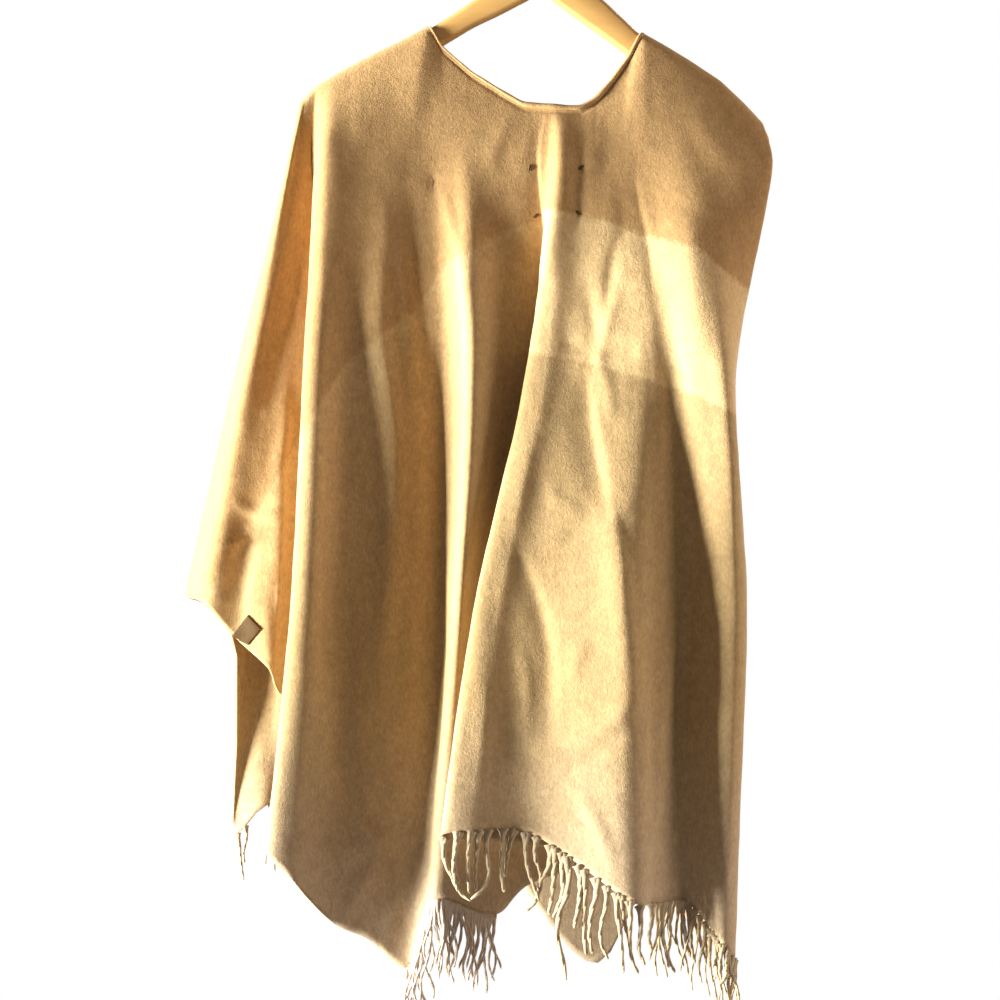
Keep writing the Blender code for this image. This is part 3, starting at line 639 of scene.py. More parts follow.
def neck_line(lines, folds, stations):
    """The narrow groove beside the rolled neck edge."""
    tops = tops_at(stations, folds)
    drop = lines[:, :1, 2] - lines[:, :, 2]
    groove = NECK_LINE_DEPTH * np.exp(-((drop - NECK_LINE_DROP) / NECK_LINE_WIDTH) ** 2)
    on_neck = np.clip((tops - NECK_LEFT) / 8.0, 0.0, 1.0) * np.clip((NECK_RIGHT - tops) / 8.0, 0.0, 1.0)
    return -groove * on_neck[:, None]


def finished_front(stations):
    """The front's lines with their creases, pits, swell and neck groove."""
    lines = cloth_grid(FRONT_FOLDS, 1, stations)
    px, py = seen_pixels(lines)
    index = np.broadcast_to(stations[:, None], px.shape)
    relief = crease_relief(px, py, stations, FRONT_FOLDS, FRONT_CREASES)
    relief += pit_relief(px, py, index, FRONT_FOLDS, "edge_roll", "lap_inner")
    relief += pit_relief(px, py, index, FRONT_FOLDS, "lap_return", "right_turn")
    relief += neck_line(lines, FRONT_FOLDS, stations)
    relief += soft_waves(lines)
    return settle(lines, relief, 1)


def finished_back(stations):
    """The back's lines with their creases, swell and neck groove."""
    lines = cloth_grid(BACK_FOLDS, 2, stations)
    px, py = flat_pixels(lines)
    relief = crease_relief(px, py, stations, BACK_FOLDS, BACK_CREASES)
    relief += neck_line(lines, BACK_FOLDS, stations) + soft_waves(lines)
    return settle(lines, relief, 2)


def settle(lines, relief, side):
    """The grid moved out by its relief, which fades at the shoulder and at the sides."""
    rows = np.arange(lines.shape[1])
    top = np.clip((rows - 1) / 6.0, 0.0, 1.0)[None, :]
    columns = np.arange(lines.shape[0])
    sides = np.clip(np.minimum(columns, columns[::-1]) / 4.0, 0.0, 1.0)[:, None]
    return lines + outward(lines, side) * (relief * top * sides)[..., None]


def band_coordinate(px, py, right):
    """Place among the colour bands and how strongly the pale band shows there.

    The place is 0 at the shoulder, 1 and 2 at the pale band's edges, 3 to 4 towards the hem;
    right is 1 where the cloth has the right half's band, and 0 where it has the left half's.
    """
    upper = right * straight(RIGHT_BAND, px, 1) + (1.0 - right) * straight(LEFT_BAND, px, 1)
    lower = right * straight(RIGHT_BAND, px, 2) + (1.0 - right) * straight(LEFT_BAND, px, 2)
    above = py / np.maximum(upper, 1.0)
    between = 1.0 + (py - upper) / (lower - upper)
    below = 2.0 + np.clip((py - lower) / 200.0, 0.0, 1.0)
    value = np.where(py < upper, np.clip(above, 0.0, 1.0), np.where(py < lower, between, below))
    taupe = np.clip((py - TAUPE_TOP) / (TAUPE_FULL - TAUPE_TOP), 0.0, 1.0)
    fade = LEFT_BAND_STRENGTH * np.clip((lower - py) / (lower - upper), 0.0, 1.0)
    strength = right + (1.0 - right) * fade
    return np.where(py > TAUPE_TOP, np.maximum(value, 3.0 + taupe), value), strength


def zipper(left, right, left_x, right_x):
    """Triangles that close the gap between two rows of vertices along the shoulder."""
    faces = []
    i = j = 0
    while i < len(left) - 1 or j < len(right) - 1:
        step_left = j == len(right) - 1 or (i < len(left) - 1 and left_x[i + 1] <= right_x[j + 1])
        if step_left:
            faces.append((left[i], left[i + 1], right[j]))
            i += 1
        else:
            faces.append((left[i], right[j + 1], right[j]))
            j += 1
    return [face for face in faces if len(set(face)) == 3]


def build_cloth():
    """One continuous poncho: both halves, joined along the shoulders and the sides."""
    front_stations = stations_of(FRONT_FOLDS, SEEN_STEP, FRONT_HIDDEN)
    back_stations = stations_of(BACK_FOLDS, BACK_STEP)
    front = finished_front(front_stations)
    back = finished_back(back_stations)
    rows = front.shape[1]
    front_ids = np.arange(front.shape[0] * rows).reshape(front.shape[:2])
    back_ids = np.arange(back.shape[0] * rows).reshape(back.shape[:2]) - rows + front_ids.size
    back_ids[0] = front_ids[0]
    back_ids[-1] = front_ids[-1]
    points = np.concatenate([front.reshape(-1, 3), back[1:-1].reshape(-1, 3)])
    faces = []
    for ids in (front_ids, back_ids):
        a, b, c, d = ids[:-1, :-1], ids[:-1, 1:], ids[1:, 1:], ids[1:, :-1]
        faces += np.stack([a, b, c, d], axis=2).reshape(-1, 4).tolist()
    front_tops = tops_at(front_stations, FRONT_FOLDS)
    back_tops = tops_at(back_stations, BACK_FOLDS)
    for inside_front, inside_back in (
        (front_tops <= NECK_LEFT + 0.01, back_tops <= NECK_LEFT + 0.01),
        (front_tops >= NECK_RIGHT - 0.01, back_tops >= NECK_RIGHT - 0.01),
    ):
        faces += zipper(
            front_ids[inside_front, 0].tolist(), back_ids[inside_back, 0].tolist(),
            front_tops[inside_front], back_tops[inside_back],
        )
    cloth = mesh_object("poncho_cloth", points, faces)
    px, py = seen_pixels(front)
    past_lap = np.where(
        front_stations[:, None] > line_at(FRONT_FOLDS, "lap_turn"), np.ones_like(px), 0.0)
    front_band, front_strength = band_coordinate(px, py, past_lap)
    back_px, back_py = flat_pixels(back)
    blend = np.clip((back_px - BACK_BLEND[0]) / (BACK_BLEND[1] - BACK_BLEND[0]), 0.0, 1.0)
    back_band, back_strength = band_coordinate(back_px, back_py, blend)
    band = np.concatenate([front_band.ravel(), back_band[1:-1].ravel()])
    strength = np.concatenate([front_strength.ravel(), back_strength[1:-1].ravel()])
    add_band(cloth, strength, band)
    return cloth, front, back, front_stations, back_stations


def add_band(target, strength, band):
    """UV map whose u is the pale band's strength and whose v is the place among the bands."""
    mesh = target.data
    layer = mesh.uv_layers.new(name="bands")
    corners = np.zeros(len(mesh.loops), dtype=np.int32)
    mesh.loops.foreach_get("vertex_index", corners)
    uv = np.stack([strength[corners], band[corners] / 4.0], axis=1)
    layer.data.foreach_set("uv", uv.ravel().astype(np.float32))


def mesh_object(name, points, faces, smooth=True):
    """Object from points in millimetres, with faces that all point the same way out."""
    mesh = bpy.data.meshes.new(name)
    mesh.from_pydata((np.asarray(points) * MM).tolist(), [], faces)
    shaper = bmesh.new()
    shaper.from_mesh(mesh)
    bmesh.ops.recalc_face_normals(shaper, faces=shaper.faces)
    shaper.to_mesh(mesh)
    shaper.free()
    if smooth:
        mesh.shade_smooth()
    made = bpy.data.objects.new(name, mesh)
    bpy.context.scene.collection.objects.link(made)
    return made


def wall(piece, thickness):
    """Gives a sheet its thickness, half of it on each side."""
    shell = piece.modifiers.new("wall", "SOLIDIFY")
    shell.thickness = thickness * MM
    shell.offset = 0.0


def frame_rings(path, corners, radii, flatten=None):
    """Rings of points round a path, kept from twisting; flatten gives each ring's two axes."""
    path = np.asarray(path, float)
    tangents = unit(np.gradient(path, axis=0))
    side = np.cross(tangents[0], (0.0, 1.0, 0.0))
    if np.linalg.norm(side) < 0.1:
        side = np.cross(tangents[0], (1.0, 0.0, 0.0))
    side /= np.linalg.norm(side)
    rings = []
    for i, (place, tangent) in enumerate(zip(path, tangents)):
        side = side - tangent * (side @ tangent)
        side /= np.linalg.norm(side)
        other = np.cross(tangent, side)
        wide = radii[i] * (flatten[i] if flatten is not None else 1.0)
        turns = np.arange(corners) * 2 * math.pi / corners
        rings.append(
            place + wide * np.cos(turns)[:, None] * side + radii[i] * np.sin(turns)[:, None] * other
        )
    return np.array(rings)


def ring_faces(count, corners, base=0, closed=False):
    """Faces of a tube of rings, with flat ends unless it is closed on itself."""
    faces = []
    last = count if closed else count - 1
    for i in range(last):
        a = base + i * corners
        b = base + ((i + 1) % count) * corners
        for k in range(corners):
            n = (k + 1) % corners
            faces.append((a + k, a + n, b + n, b + k))
    if not closed:
        faces.append(tuple(base + k for k in range(corners)))
        faces.append(tuple(base + (count - 1) * corners + k for k in reversed(range(corners))))
    return faces


def build_neck_roll(front, back, front_stations, back_stations):
    """Rolled edge round the neck opening, slightly uneven as a hand-turned hem is."""
    front_tops = tops_at(front_stations, FRONT_FOLDS)
    back_tops = tops_at(back_stations, BACK_FOLDS)
    front_edge = front[(front_tops >= NECK_LEFT) & (front_tops <= NECK_RIGHT), 0]
    back_edge = back[(back_tops > NECK_LEFT) & (back_tops < NECK_RIGHT), 0][::-1]
    loop = np.concatenate([front_edge, back_edge])
    closed = np.concatenate([loop[-6:], loop, loop[:6]])
    knots = running_length(closed)
    at = np.linspace(knots[6], knots[6 + len(loop)], NECK_ROLL_RINGS, endpoint=False)
    ring = np.stack([np.interp(at, knots, closed[:, c]) for c in range(3)], axis=1)
    for _ in range(4):
        ring = (np.roll(ring, 1, axis=0) + 2 * ring + np.roll(ring, -1, axis=0)) / 4
    middle = np.array(((NECK_LEFT + NECK_RIGHT) / 2, 0.0, -120.0))
    inward = middle - ring
    inward[:, 1] = 0.0
    inward /= np.linalg.norm(inward, axis=1, keepdims=True)
    ring = ring + inward * 0.9 + np.array((0.0, 1.0, 0.0)) * np.sign(ring[:, 1:2]) * 0.9
    tangents = np.roll(ring, -1, axis=0) - np.roll(ring, 1, axis=0)
    tangents /= np.linalg.norm(tangents, axis=1, keepdims=True)
    points = []
    for i, (place, tangent, side) in enumerate(zip(ring, tangents, inward)):
        side = side - tangent * (side @ tangent)
        side /= np.linalg.norm(side)
        other = np.cross(tangent, side)
        plump = NECK_ROLL_RADIUS * (1.0 + 0.08 * math.sin(i * 0.55) + 0.07 * math.sin(i * 0.21 + 1.0))
        plump *= 0.76 + 0.46 * math.exp(-((place[0] - 8.0) / 52.0) ** 2)
        plump *= 1.0 - 0.35 / (1.0 + math.exp((place[0] + 52.0) / 9.0))
        for k in range(NECK_ROLL_CORNERS):
            turn = 2 * math.pi * k / NECK_ROLL_CORNERS
            points.append(place + plump * (math.cos(turn) * side + 1.05 * math.sin(turn) * other))
    faces = ring_faces(NECK_ROLL_RINGS, NECK_ROLL_CORNERS, closed=True)
    roll = mesh_object("neck_roll", points, faces)
    add_band(roll, np.ones(len(points)), np.full(len(points), 0.6))
    return roll


def strand_mesh(path, root_wide, points, faces, radius):
    """Two soft plies with a slack twist along a path, a flat web where they leave the cloth."""
    rings = len(path)
    path = smooth_path(path, rings)
    share = np.linspace(0.0, 1.0, rings)
    tangents = unit(np.gradient(path, axis=0))
    side = unit(np.cross(tangents, (0.0, 1.0, 0.0)))
    other = np.cross(tangents, side)
    phase = random.uniform(0.0, 2 * math.pi)
    spread = np.exp(-share * len(path) / 2.4)
    for ply in (0.0, math.pi):
        angle = phase + ply + share * STRAND_TURNS * 2 * math.pi
        swing = 0.3 * radius * (1.0 - spread) * (1.0 - 0.3 * share)
        centre = path + swing[:, None] * (np.cos(angle)[:, None] * side + np.sin(angle)[:, None] * other)
        apart = (spread * root_wide * 0.3)[:, None] * side
        centre += apart if ply else -apart
        radii = PLY_RADIUS * radius * (1.0 - 0.45 * share) * (1.0 + 0.08 * np.sin(share * 23.0 + phase))
        radii[-1] *= 0.35
        base = len(points)
        tube = frame_rings(centre, STRAND_CORNERS, radii, 1.0 + spread * 0.9)
        points.extend(tube.reshape(-1, 3).tolist())
        faces.extend(ring_faces(rings, STRAND_CORNERS, base))


def hem_row(lines, stations, folds, first, last):
    """The lower edge between two fold lines."""
    return lines[between(stations, folds, first, last), -1]


def drooping(root, length, lean, sway, phase):
    """Path of one strand that hangs from its root, with a slow sideways sway."""
    steps = 22
    share = np.linspace(0.0, 1.0, steps)
    x = root[0] + lean * share * length + sway * (np.sin(phase + 5.0 * share) - math.sin(phase)) * share
    y = root[1] + 0.5 * sway * (np.cos(phase + 4.0 * share) - math.cos(phase)) * share
    z = root[2] - length * share
    return np.stack([x, y, z], axis=1)


def even_roots(edge, pitch):
    """Points along an edge at an even level distance."""
    knots = running_length(edge[:, :2])
    count = max(1, int(knots[-1] / pitch))
    at = (np.arange(count) + 0.5) * knots[-1] / count
    return np.stack([np.interp(at, knots, edge[:, c]) for c in range(3)], axis=1)


def build_left_fringe(front, stations):
    """Dense strands of the left stretch, partly tangled into small clumps."""
    edge = hem_row(front, stations, FRONT_FOLDS, "panel_dip", "ridge_dip")
    points, faces = [], []
    for i, root in enumerate(even_roots(edge, LEFT_PITCH)):
        length = 66.0 + 10.0 * math.sin(2.3 * i) + random.uniform(-8.0, 8.0)
        clump = 5.0 * math.sin(i * 1.9)
        lean = (clump + random.uniform(-6.0, 6.0)) / length
        path = drooping(root, length, lean, 6.0, random.uniform(0.0, 6.0))
        strand_mesh(path, 3.0, points, faces, LEFT_RADIUS)
    return mesh_object("left_fringe", points, faces)


def build_lap_fringe(front, stations):
    """Strands under the right half of the front, each along its own path."""
    edge = hem_row(front, stations, FRONT_FOLDS, "lap_edge", "right_turn")
    seen_x, _ = seen_pixels(edge)
    points, faces = [], []
    for trace in LAP_STRANDS:
        nearest = int(np.argmin(np.abs(seen_x - trace[0][0])))
        root = edge[nearest]
        start = place_of(*trace[0], root[1])
        path = np.array([place_of(x, y, root[1]) for x, y in trace]) - start + root
        drift = np.linspace(0.0, 1.0, len(path)) ** 2
        path[:, 1] += drift * random.uniform(-5.0, 7.0)
        radius = THICK_RADIUS if THICK_FROM < trace[0][0] < THICK_TO else TRACED_RADIUS
        strand_mesh(smooth_path(path, 26), 7.0, points, faces, radius)
    dense = hem_row(front, stations, FRONT_FOLDS, "right_collar", "right_turn")
    for i, root in enumerate(even_roots(dense, LAP_PITCH)):
        length = 60.0 + 12.0 * math.sin(1.3 * i) + random.uniform(-8.0, 8.0)
        path = drooping(root, length, random.uniform(-5.0, 5.0) / length, 5.0, random.uniform(0.0, 6.0))
        strand_mesh(path, 6.0, points, faces, LAP_RADIUS)
    under = hem_row(front, stations, FRONT_FOLDS, "right_turn", "tuck_under")
    for root in even_roots(under, UNDER_PITCH):
        path = drooping(root, random.uniform(56.0, 72.0), 0.0, 4.0, random.uniform(0.0, 6.0))
        strand_mesh(path, 4.0, points, faces, UNDER_RADIUS)
    return mesh_object("right_fringe", points, faces)


def build_back_fringe(back, stations):
    """Strands of the back's lower edge."""
    edge = hem_row(back, stations, BACK_FOLDS, "hem_fold_a", "back_under")
    corner = hem_row(back, stations, BACK_FOLDS, "wing_corner", "hem_fold_a")
    points, faces = [], []
    seen_x, _ = seen_pixels(corner)
    for trace in CORNER_STRANDS:
        root = corner[int(np.argmin(np.abs(seen_x - trace[0][0])))]
        path = np.array([place_of(x, y, root[1]) for x, y in trace])
        path += root - path[0]
        strand_mesh(smooth_path(path, 22), 4.0, points, faces, CORNER_RADIUS)
    for i, root in enumerate(even_roots(edge, BACK_PITCH)):
        length = 58.0 + 7.0 * math.sin(1.7 * i) + random.uniform(-5.0, 5.0)
        lean = random.uniform(-5.0, 5.0) / length
        path = drooping(root, length, lean, 4.5, random.uniform(0.0, 6.0))
        strand_mesh(path, 4.0, points, faces, BACK_RADIUS)
    return mesh_object("back_fringe_yarns", points, faces)


def surface_tree(front):
    """Search tree of the front's outer surface, in millimetres."""
    rows = front.shape[1]
    ids = np.arange(front.shape[0] * rows).reshape(front.shape[:2])
    quads = np.stack([ids[:-1, :-1], ids[:-1, 1:], ids[1:, 1:], ids[1:, :-1]], axis=2)
    return BVHTree.FromPolygons(front.reshape(-1, 3).tolist(), quads.reshape(-1, 4).tolist())


def on_front(tree, px, py, away):
    """Point a little outside the front where it shows at a pixel."""
    eye = Vector((CAMERA_CENTRE[0], -CAMERA_DISTANCE, CAMERA_CENTRE[1]))
    aim = Vector(place_of(px, py, 0.0)) - eye
    hit, facing, _, _ = tree.ray_cast(eye, aim.normalized())
    if hit is None:
        hit, facing, _, _ = tree.find_nearest(place_of(px, py, -34.0))
    if facing.y > 0.0:
        facing = -facing
    return hit + facing * away


def build_tag(tree):
    """Small blank diamond on the wing, sewn flat and a little puffed in its middle."""
    cells = 14
    points, shade = [], []
    for i in range(cells + 1):
        for j in range(cells + 1):
            u, v = i / cells, j / cells
            weights = ((1 - u) * (1 - v), u * (1 - v), u * v, (1 - u) * v)
            px = sum(w * c[0] for w, c in zip(weights, TAG_CORNERS))
            py = sum(w * c[1] for w, c in zip(weights, TAG_CORNERS))
            rim = min(u, 1 - u, v, 1 - v) * 2.0
            puff = 0.5 * min(rim * 3.0, 1.0) + 0.15 * math.sin(9.0 * u + 7.0 * v)
            lift = WALL / 2 + TAG_THICKNESS / 2 + 0.2 + puff
            points.append(tuple(on_front(tree, px, py, lift)))
            shade.append(rim)
    side = cells + 1
    faces = [(i * side + j, i * side + j + 1, (i + 1) * side + j + 1, (i + 1) * side + j)
             for i in range(cells) for j in range(cells)]
    tag = mesh_object("wing_tag", points, faces)
    add_band(tag, np.array(shade), np.array(shade))
    wall(tag, TAG_THICKNESS)
    return tag


def build_tacks(tree):
    """Short dark tack stitches in the drawn-in places under the neck."""
    points, faces = [], []
    for px, py, lean in TACKS:
        for shift in (-0.8, 0.9):
            ends = []
            for way in (-1.0, -0.35, 0.35, 1.0):
                x = px + shift + way * 2.4 * math.sin(lean)
                y = py - way * 3.0 * math.cos(lean)
                lift = WALL / 2 + 0.5 - 0.8 * abs(way)
                ends.append(np.array(on_front(tree, x, y, lift)))
            base = len(points)
            path = smooth_path(ends, 9)
            tube = frame_rings(path, 6, np.full(9, 0.75))
            points.extend(tube.reshape(-1, 3).tolist())
            faces.extend(ring_faces(9, 6, base))
    return mesh_object("tack_stitches", points, faces)


def build_arm():
    """The hanger's flat wooden arm with its rounded edges, smooth along its length."""
    corners, stations = 28, 150
    table = np.array(ARM_SECTIONS, float)
    along = np.arange(len(table))
    at = np.linspace(0, len(table) - 1, stations)
    x, top, bottom, share = (through(along, table[:, c], at) for c in range(4))
    points = []
    for xi, ti, bi, si in zip(x, top, bottom, share):
        half = ARM_THICKNESS / 2 * si
        straight_half = (ti - bi) / 2 - half
        for k in range(corners):
            angle = 2 * math.pi * (k + 0.5) / corners
            z = half * math.sin(angle)
            z += math.copysign(straight_half, z)
            points.append((xi, half * math.cos(angle), (ti + bi) / 2 + z))
    return mesh_object("hanger_arm", points, ring_faces(stations, corners))


def build_hook():
    """Steel wire hook: a round bend on a straight shank."""
    radius = HOOK_INNER_RADIUS + WIRE_RADIUS
    foot_z = straight(ARM_SECTIONS, SHANK_FOOT_X, 1) + 0.3
    path = [(SHANK_FOOT_X, 0, foot_z), (SHANK_FOOT_X, 0, foot_z + 10), (SHANK_FOOT_X, 0, foot_z + 20),
            (SHANK_FOOT_X + 1.5, 0, foot_z + 26), (SHANK_FOOT_X + 5, 0, foot_z + 31)]
    for degrees in range(-56, 206, 6):
        turn = math.radians(degrees)
        path.append((HOOK_CENTRE_X + radius * math.cos(turn), 0,
                     -HOOK_INNER_RADIUS + radius * math.sin(turn)))
    path = smooth_path(path, 110)
    radii = np.full(len(path), WIRE_RADIUS)
    radii[-3:] = WIRE_RADIUS * np.array((0.95, 0.75, 0.35))
    points = frame_rings(path, 16, radii).reshape(-1, 3)
    return mesh_object("hook_wire", points, ring_faces(len(path), 16))


class Nodes:
    """Small helper that adds and links the nodes of one material."""

    def __init__(self, name):
        self.material = bpy.data.materials.new(name)
        self.material.use_nodes = True
        self.tree = self.material.node_tree
        self.shader = self.tree.nodes["Principled BSDF"]
        self.place = self.add("ShaderNodeTexCoord").outputs["Object"]

    def add(self, kind, **settings):
        """Node of a kind with its settings; keys that name inputs set their values."""
        node = self.tree.nodes.new(kind)
        for key, value in settings.items():
            if key in node.inputs.keys():
                node.inputs[key].default_value = value
            else:
                setattr(node, key, value)
        return node

    def link(self, out, into):
        """Links an output socket to an input socket."""
        self.tree.links.new(out, into)

    def noise(self, scale, detail=3.0, stretch=(1.0, 1.0, 1.0), roughness=0.55):
        """Noise in the object's own metres, finer where stretch is larger."""
        mapping = self.add("ShaderNodeMapping")
        mapping.inputs["Scale"].default_value = stretch
        self.link(self.place, mapping.inputs["Vector"])
        made = self.add("ShaderNodeTexNoise", Scale=scale, Detail=detail, Roughness=roughness)
        self.link(mapping.outputs["Vector"], made.inputs["Vector"])
        return made.outputs["Fac"]

    def ramp(self, value, stops):
        """Colour ramp over stops of (position, colour)."""
        made = self.add("ShaderNodeValToRGB")
        line = made.color_ramp.elements
        line[0].position, line[0].color = stops[0]
        line[1].position, line[1].color = stops[-1]
        for position, colour in stops[1:-1]:
            line.new(position).color = colour
        self.link(value, made.inputs["Fac"])
        return made.outputs["Color"]

    def mix(self, share, low, high, blend="MIX"):
        """Mix of two colours; share, low and high are sockets or values."""
        made = self.add("ShaderNodeMix", data_type="RGBA", blend_type=blend)
        for value, socket in ((share, made.inputs[0]), (low, made.inputs[6]), (high, made.inputs[7])):
            if isinstance(value, bpy.types.NodeSocket):
                self.link(value, socket)
            else:
                socket.default_value = value
        return made.outputs[2]

    def math(self, kind, *values):
        """Math node over sockets or numbers."""
        made = self.add("ShaderNodeMath", operation=kind)
        for socket, value in zip(made.inputs, values):
            if isinstance(value, bpy.types.NodeSocket):
                self.link(value, socket)
            else:
                socket.default_value = value
        return made.outputs[0]

    def bump(self, height, distance, strength=1.0, below=None):
        """Bump over another bump's normal, if one is given."""
        made = self.add("ShaderNodeBump", Strength=strength, Distance=distance)
        self.link(height, made.inputs["Height"])
        if below is not None:
            self.link(below, made.inputs["Normal"])
        return made.outputs["Normal"]

    def uv(self):
        """The two parts of the bands map."""
        made = self.add("ShaderNodeUVMap", uv_map="bands")
        parts = self.add("ShaderNodeSeparateXYZ")
        self.link(made.outputs["UV"], parts.inputs["Vector"])
        return parts.outputs["X"], parts.outputs["Y"]

    def finish(self, colour, normal):
        """Links the surface's colour and its bump to the shader."""
        self.link(colour, self.shader.inputs["Base Color"])
        self.link(normal, self.shader.inputs["Normal"])

    def set(self, **values):
        """Plain values on the shader's own sockets; underscores stand for spaces."""
        for key, value in values.items():
            self.shader.inputs[key.replace("_", " ")].default_value = value


def wool_material():
    """Brushed wool in tan, cream, beige and taupe bands, with a short uneven nap."""
    m = Nodes("brushed_wool")
    strength, band = m.uv()
    rough_edge = m.math("MULTIPLY", m.math("SUBTRACT", m.noise(260.0, 2.0), 0.5), 0.012)
    band = m.math("ADD", band, rough_edge)
    bands = m.ramp(band, (
        (0.0, SHOULDER_TAN), (0.247, SHOULDER_TAN), (0.253, BAND_CREAM),
        (0.497, BAND_CREAM), (0.503, LOWER_BEIGE), (0.75, LOWER_BEIGE), (1.0, HEM_TAUPE),
    ))
    plain = m.ramp(band, ((0.0, SHOULDER_TAN), (0.75, LOWER_BEIGE), (1.0, HEM_TAUPE)))
    bands = m.mix(strength, plain, bands)
    patches = m.noise(26.0, 4.0)
    colour = m.mix(m.math("MULTIPLY", m.math("SUBTRACT", patches, 0.4), 0.55), bands, WOOL_PATCH)
    lumps = m.noise(115.0, 3.0, (1.0, 1.0, 0.8), 0.6)
    flecks = m.noise(420.0, 3.0, (1.0, 1.0, 0.55), 0.7)
    light = m.math("MULTIPLY_ADD", flecks, 0.8, 0.6)
    light = m.math("MULTIPLY", light, m.math("MULTIPLY_ADD", lumps, 0.45, 0.77))
    fibres = m.noise(900.0, 2.0, (1.0, 1.0, 0.2))
    light = m.math("MULTIPLY", light, m.math("MULTIPLY_ADD", fibres, 0.3, 0.85))
    colour = m.mix(1.0, colour, light, "MULTIPLY")
    nap = m.bump(lumps, 0.0006, 0.6)
    nap = m.bump(m.noise(420.0, 4.0, (1.0, 1.0, 0.9), 0.65), 0.0007, 0.6, nap)
    nap = m.bump(m.noise(1100.0, 2.0), 0.0004, 0.6, nap)
    m.finish(colour, nap)
    m.set(Roughness=0.95, Sheen_Weight=0.22, Sheen_Roughness=0.55,
          Sheen_Tint=WOOL_SHEEN, Specular_IOR_Level=0.15)
    return m.material


def yarn_material(name, pale):
    """Loosely twisted yarn, fuzzier and a little greyer than the cloth."""
    m = Nodes(name)
    flecks = m.noise(300.0, 3.0)
    dark = tuple(0.7 * part for part in pale[:3]) + (1.0,)
    colour = m.mix(flecks, dark, pale)
    patches = m.noise(18.0, 2.0)
    colour = m.mix(m.math("MULTIPLY", patches, 0.25), colour, YARN_PATCH)
    m.finish(colour, m.bump(m.noise(900.0, 3.0), 0.0006, 0.8))
    m.set(Roughness=0.95, Sheen_Weight=0.3, Sheen_Roughness=0.6, Specular_IOR_Level=0.15)
    return m.material


def wood_material():
    """Clear-lacquered beech with grain along the arm."""
    m = Nodes("lacquered_beech")
    grain = m.noise(60.0, 6.0, (0.12, 1.0, 1.6), 0.62)
    pores = m.noise(700.0, 2.0, (0.08, 1.0, 1.0))
    colour = m.mix(grain, WOOD_DARK, WOOD_LIGHT)
    colour = m.mix(m.math("MULTIPLY", pores, 0.35), colour, WOOD_PORES)
    m.finish(colour, m.bump(grain, 0.0003, 0.4))
    m.set(Roughness=0.42, Coat_Weight=0.25, Coat_Roughness=0.25, Specular_IOR_Level=0.4)
    return m.material


def steel_material():
    """Bright zinc-plated wire with faint drawing marks."""
    m = Nodes("plated_wire")
    marks = m.noise(500.0, 3.0, (1.0, 1.0, 0.1))
    m.link(m.mix(marks, STEEL_DARK, STEEL_LIGHT), m.shader.inputs["Base Color"])
    m.link(m.math("MULTIPLY_ADD", marks, 0.2, 0.2), m.shader.inputs["Roughness"])
    m.set(Metallic=1.0)
    return m.material


def tag_material():
    """Brown suede-like tag, darker all round its rim."""
    m = Nodes("brown_tag")
    rim, _ = m.uv()
    grain = m.noise(500.0, 4.0)
    colour = m.mix(grain, TAG_BROWN, TAG_GRAIN)
    inside = m.math("MINIMUM", m.math("MULTIPLY", rim, 4.0), 1.0)
    edge = m.math("MULTIPLY", m.math("SUBTRACT", 1.0, inside), 0.7)
    colour = m.mix(edge, colour, TAG_EDGE)
    m.finish(colour, m.bump(grain, 0.0004, 0.7))
    m.set(Roughness=0.85, Specular_IOR_Level=0.2)
    return m.material


def thread_material():
    """Dark brown tacking thread."""
    m = Nodes("tack_thread")
    twist = m.noise(1400.0, 2.0)
    m.finish(m.mix(twist, THREAD_BROWN, THREAD_LIGHT), m.bump(twist, 0.0003, 0.6))
    m.set(Roughness=0.9)
    return m.material


def dress(piece, finish, slot, *nodes):
    """Gives a piece its material and its body and hides the nodes that it stands for; slot is not used."""
    piece.data.materials.clear()
    piece.data.materials.append(finish)
    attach(piece, "root")
    if nodes:
        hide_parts(*nodes)


def add_light(name, place, size, power, colour):
    """Square area light at a place in metres, aimed at the poncho's middle."""
    data = bpy.data.lights.new(name, "AREA")
    data.energy = power
    data.size = size
    data.color = colour
    lamp = bpy.data.objects.new(name, data)
    lamp.location = place
    aim = Vector(LIGHT_TARGET) - Vector(place)
    lamp.rotation_euler = aim.to_track_quat("-Z", "Y").to_euler()
    bpy.context.scene.collection.objects.link(lamp)


def add_world():
    """White background that lights the object only softly."""
    world = bpy.data.worlds.new("studio")
    world.use_nodes = True
    nodes, links = world.node_tree.nodes, world.node_tree.links
    nodes.clear()
    out = nodes.new("ShaderNodeOutputWorld")
    seen = nodes.new("ShaderNodeBackground")
    seen.inputs["Color"].default_value = GROUND_WHITE
    seen.inputs["Strength"].default_value = 1.0
    fill = nodes.new("ShaderNodeBackground")
    fill.inputs["Color"].default_value = FILL_WARM
    fill.inputs["Strength"].default_value = FILL_STRENGTH
    chosen = nodes.new("ShaderNodeMixShader")
    ray = nodes.new("ShaderNodeLightPath")
    links.new(ray.outputs["Is Camera Ray"], chosen.inputs["Fac"])
    links.new(fill.outputs["Background"], chosen.inputs[1])
    links.new(seen.outputs["Background"], chosen.inputs[2])
    links.new(chosen.outputs["Shader"], out.inputs["Surface"])
    bpy.context.scene.world = world


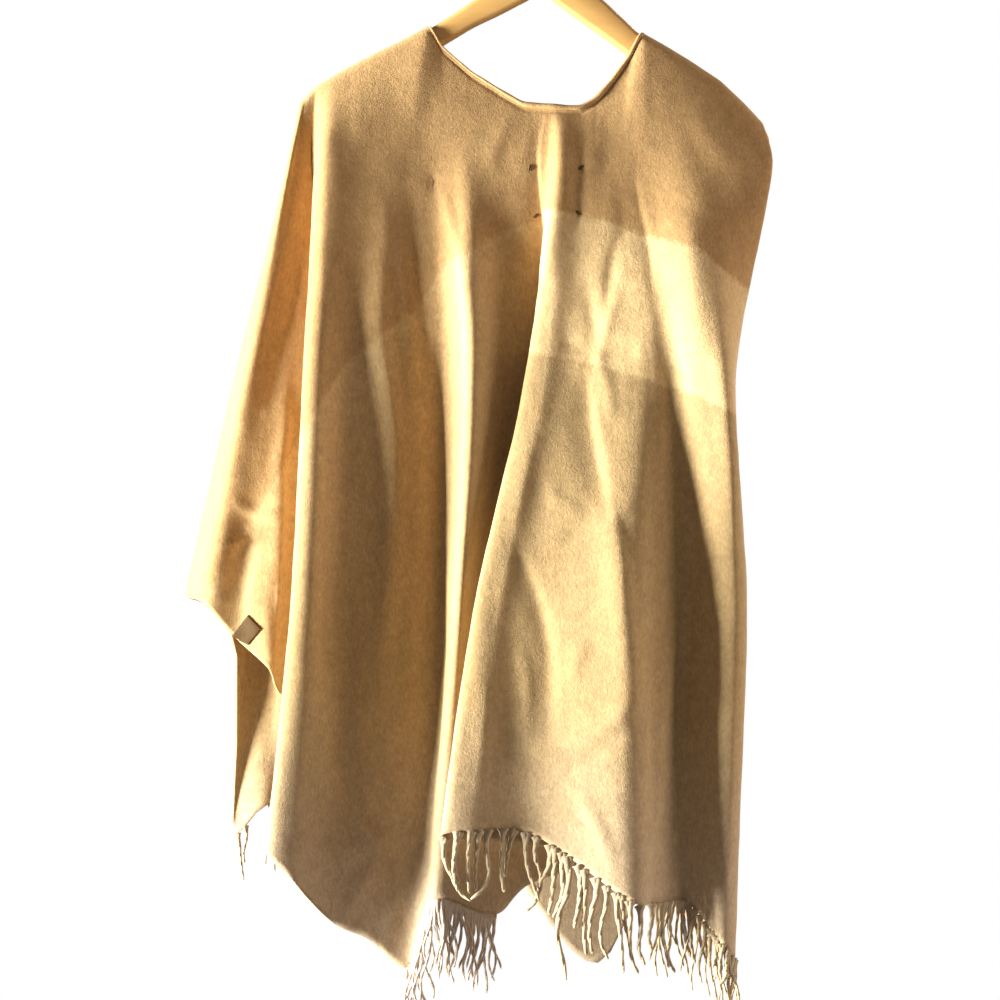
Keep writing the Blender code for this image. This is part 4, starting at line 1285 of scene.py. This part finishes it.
def add_floor():
    """Pale floor far below the hanging poncho."""
    half, z = FLOOR_HALF, FLOOR_Z
    corners = [(-half, -half, z), (half, -half, z), (half, half, z), (-half, half, z)]
    floor = mesh_object("floor", corners, [(0, 1, 2, 3)], smooth=False)
    pale = bpy.data.materials.new("pale_floor")
    pale.use_nodes = True
    shader = pale.node_tree.nodes["Principled BSDF"]
    shader.inputs["Base Color"].default_value = FLOOR_WHITE
    shader.inputs["Roughness"].default_value = 0.9
    floor.data.materials.append(pale)


def add_camera():
    """Camera in front of the object, where the photograph was taken from."""
    data = bpy.data.cameras.new("camera")
    data.sensor_width = 36.0
    data.lens = 36.0 * CAMERA_DISTANCE / FRAME_WIDTH
    data.clip_end = 50.0
    camera = bpy.data.objects.new("camera", data)
    camera.location = (CAMERA_CENTRE[0] * MM, -CAMERA_DISTANCE * MM, CAMERA_CENTRE[1] * MM)
    camera.rotation_euler = (math.radians(90), 0.0, 0.0)
    bpy.context.scene.collection.objects.link(camera)
    bpy.context.scene.camera = camera


def main():
    """Builds every piece over the frame, then the floor, the light and the camera."""
    wool, yarn = wool_material(), yarn_material("fringe_yarn", YARN_PALE)
    cloth, front, back, front_stations, back_stations = build_cloth()
    wall(cloth, WALL)
    dress(cloth, wool, "wool", "front", "back")
    roll = build_neck_roll(front, back, front_stations, back_stations)
    dress(roll, wool, "wool_edge", "neck_hem")
    left = build_left_fringe(front, front_stations)
    dress(left, yarn_material("grey_fringe_yarn", YARN_GREY), "yarn", "front_fringe")
    right = build_lap_fringe(front, front_stations)
    dress(right, yarn, "yarn", "lap_fringe")
    behind = build_back_fringe(back, back_stations)
    dress(behind, yarn, "yarn", "back_fringe")
    tree = surface_tree(front)
    tag = build_tag(tree)
    dress(tag, tag_material(), "leather", "side_tag")
    tacks = build_tacks(tree)
    dress(tacks, thread_material(), "leather")
    arm = build_arm()
    dress(arm, wood_material(), "beech", "hanger")
    hook = build_hook()
    dress(hook, steel_material(), "steel", "hook")

    add_floor()
    add_world()
    for light in LIGHTS:
        add_light(*light)
    bpy.context.scene.view_settings.view_transform = "Standard"
    add_camera()


main()
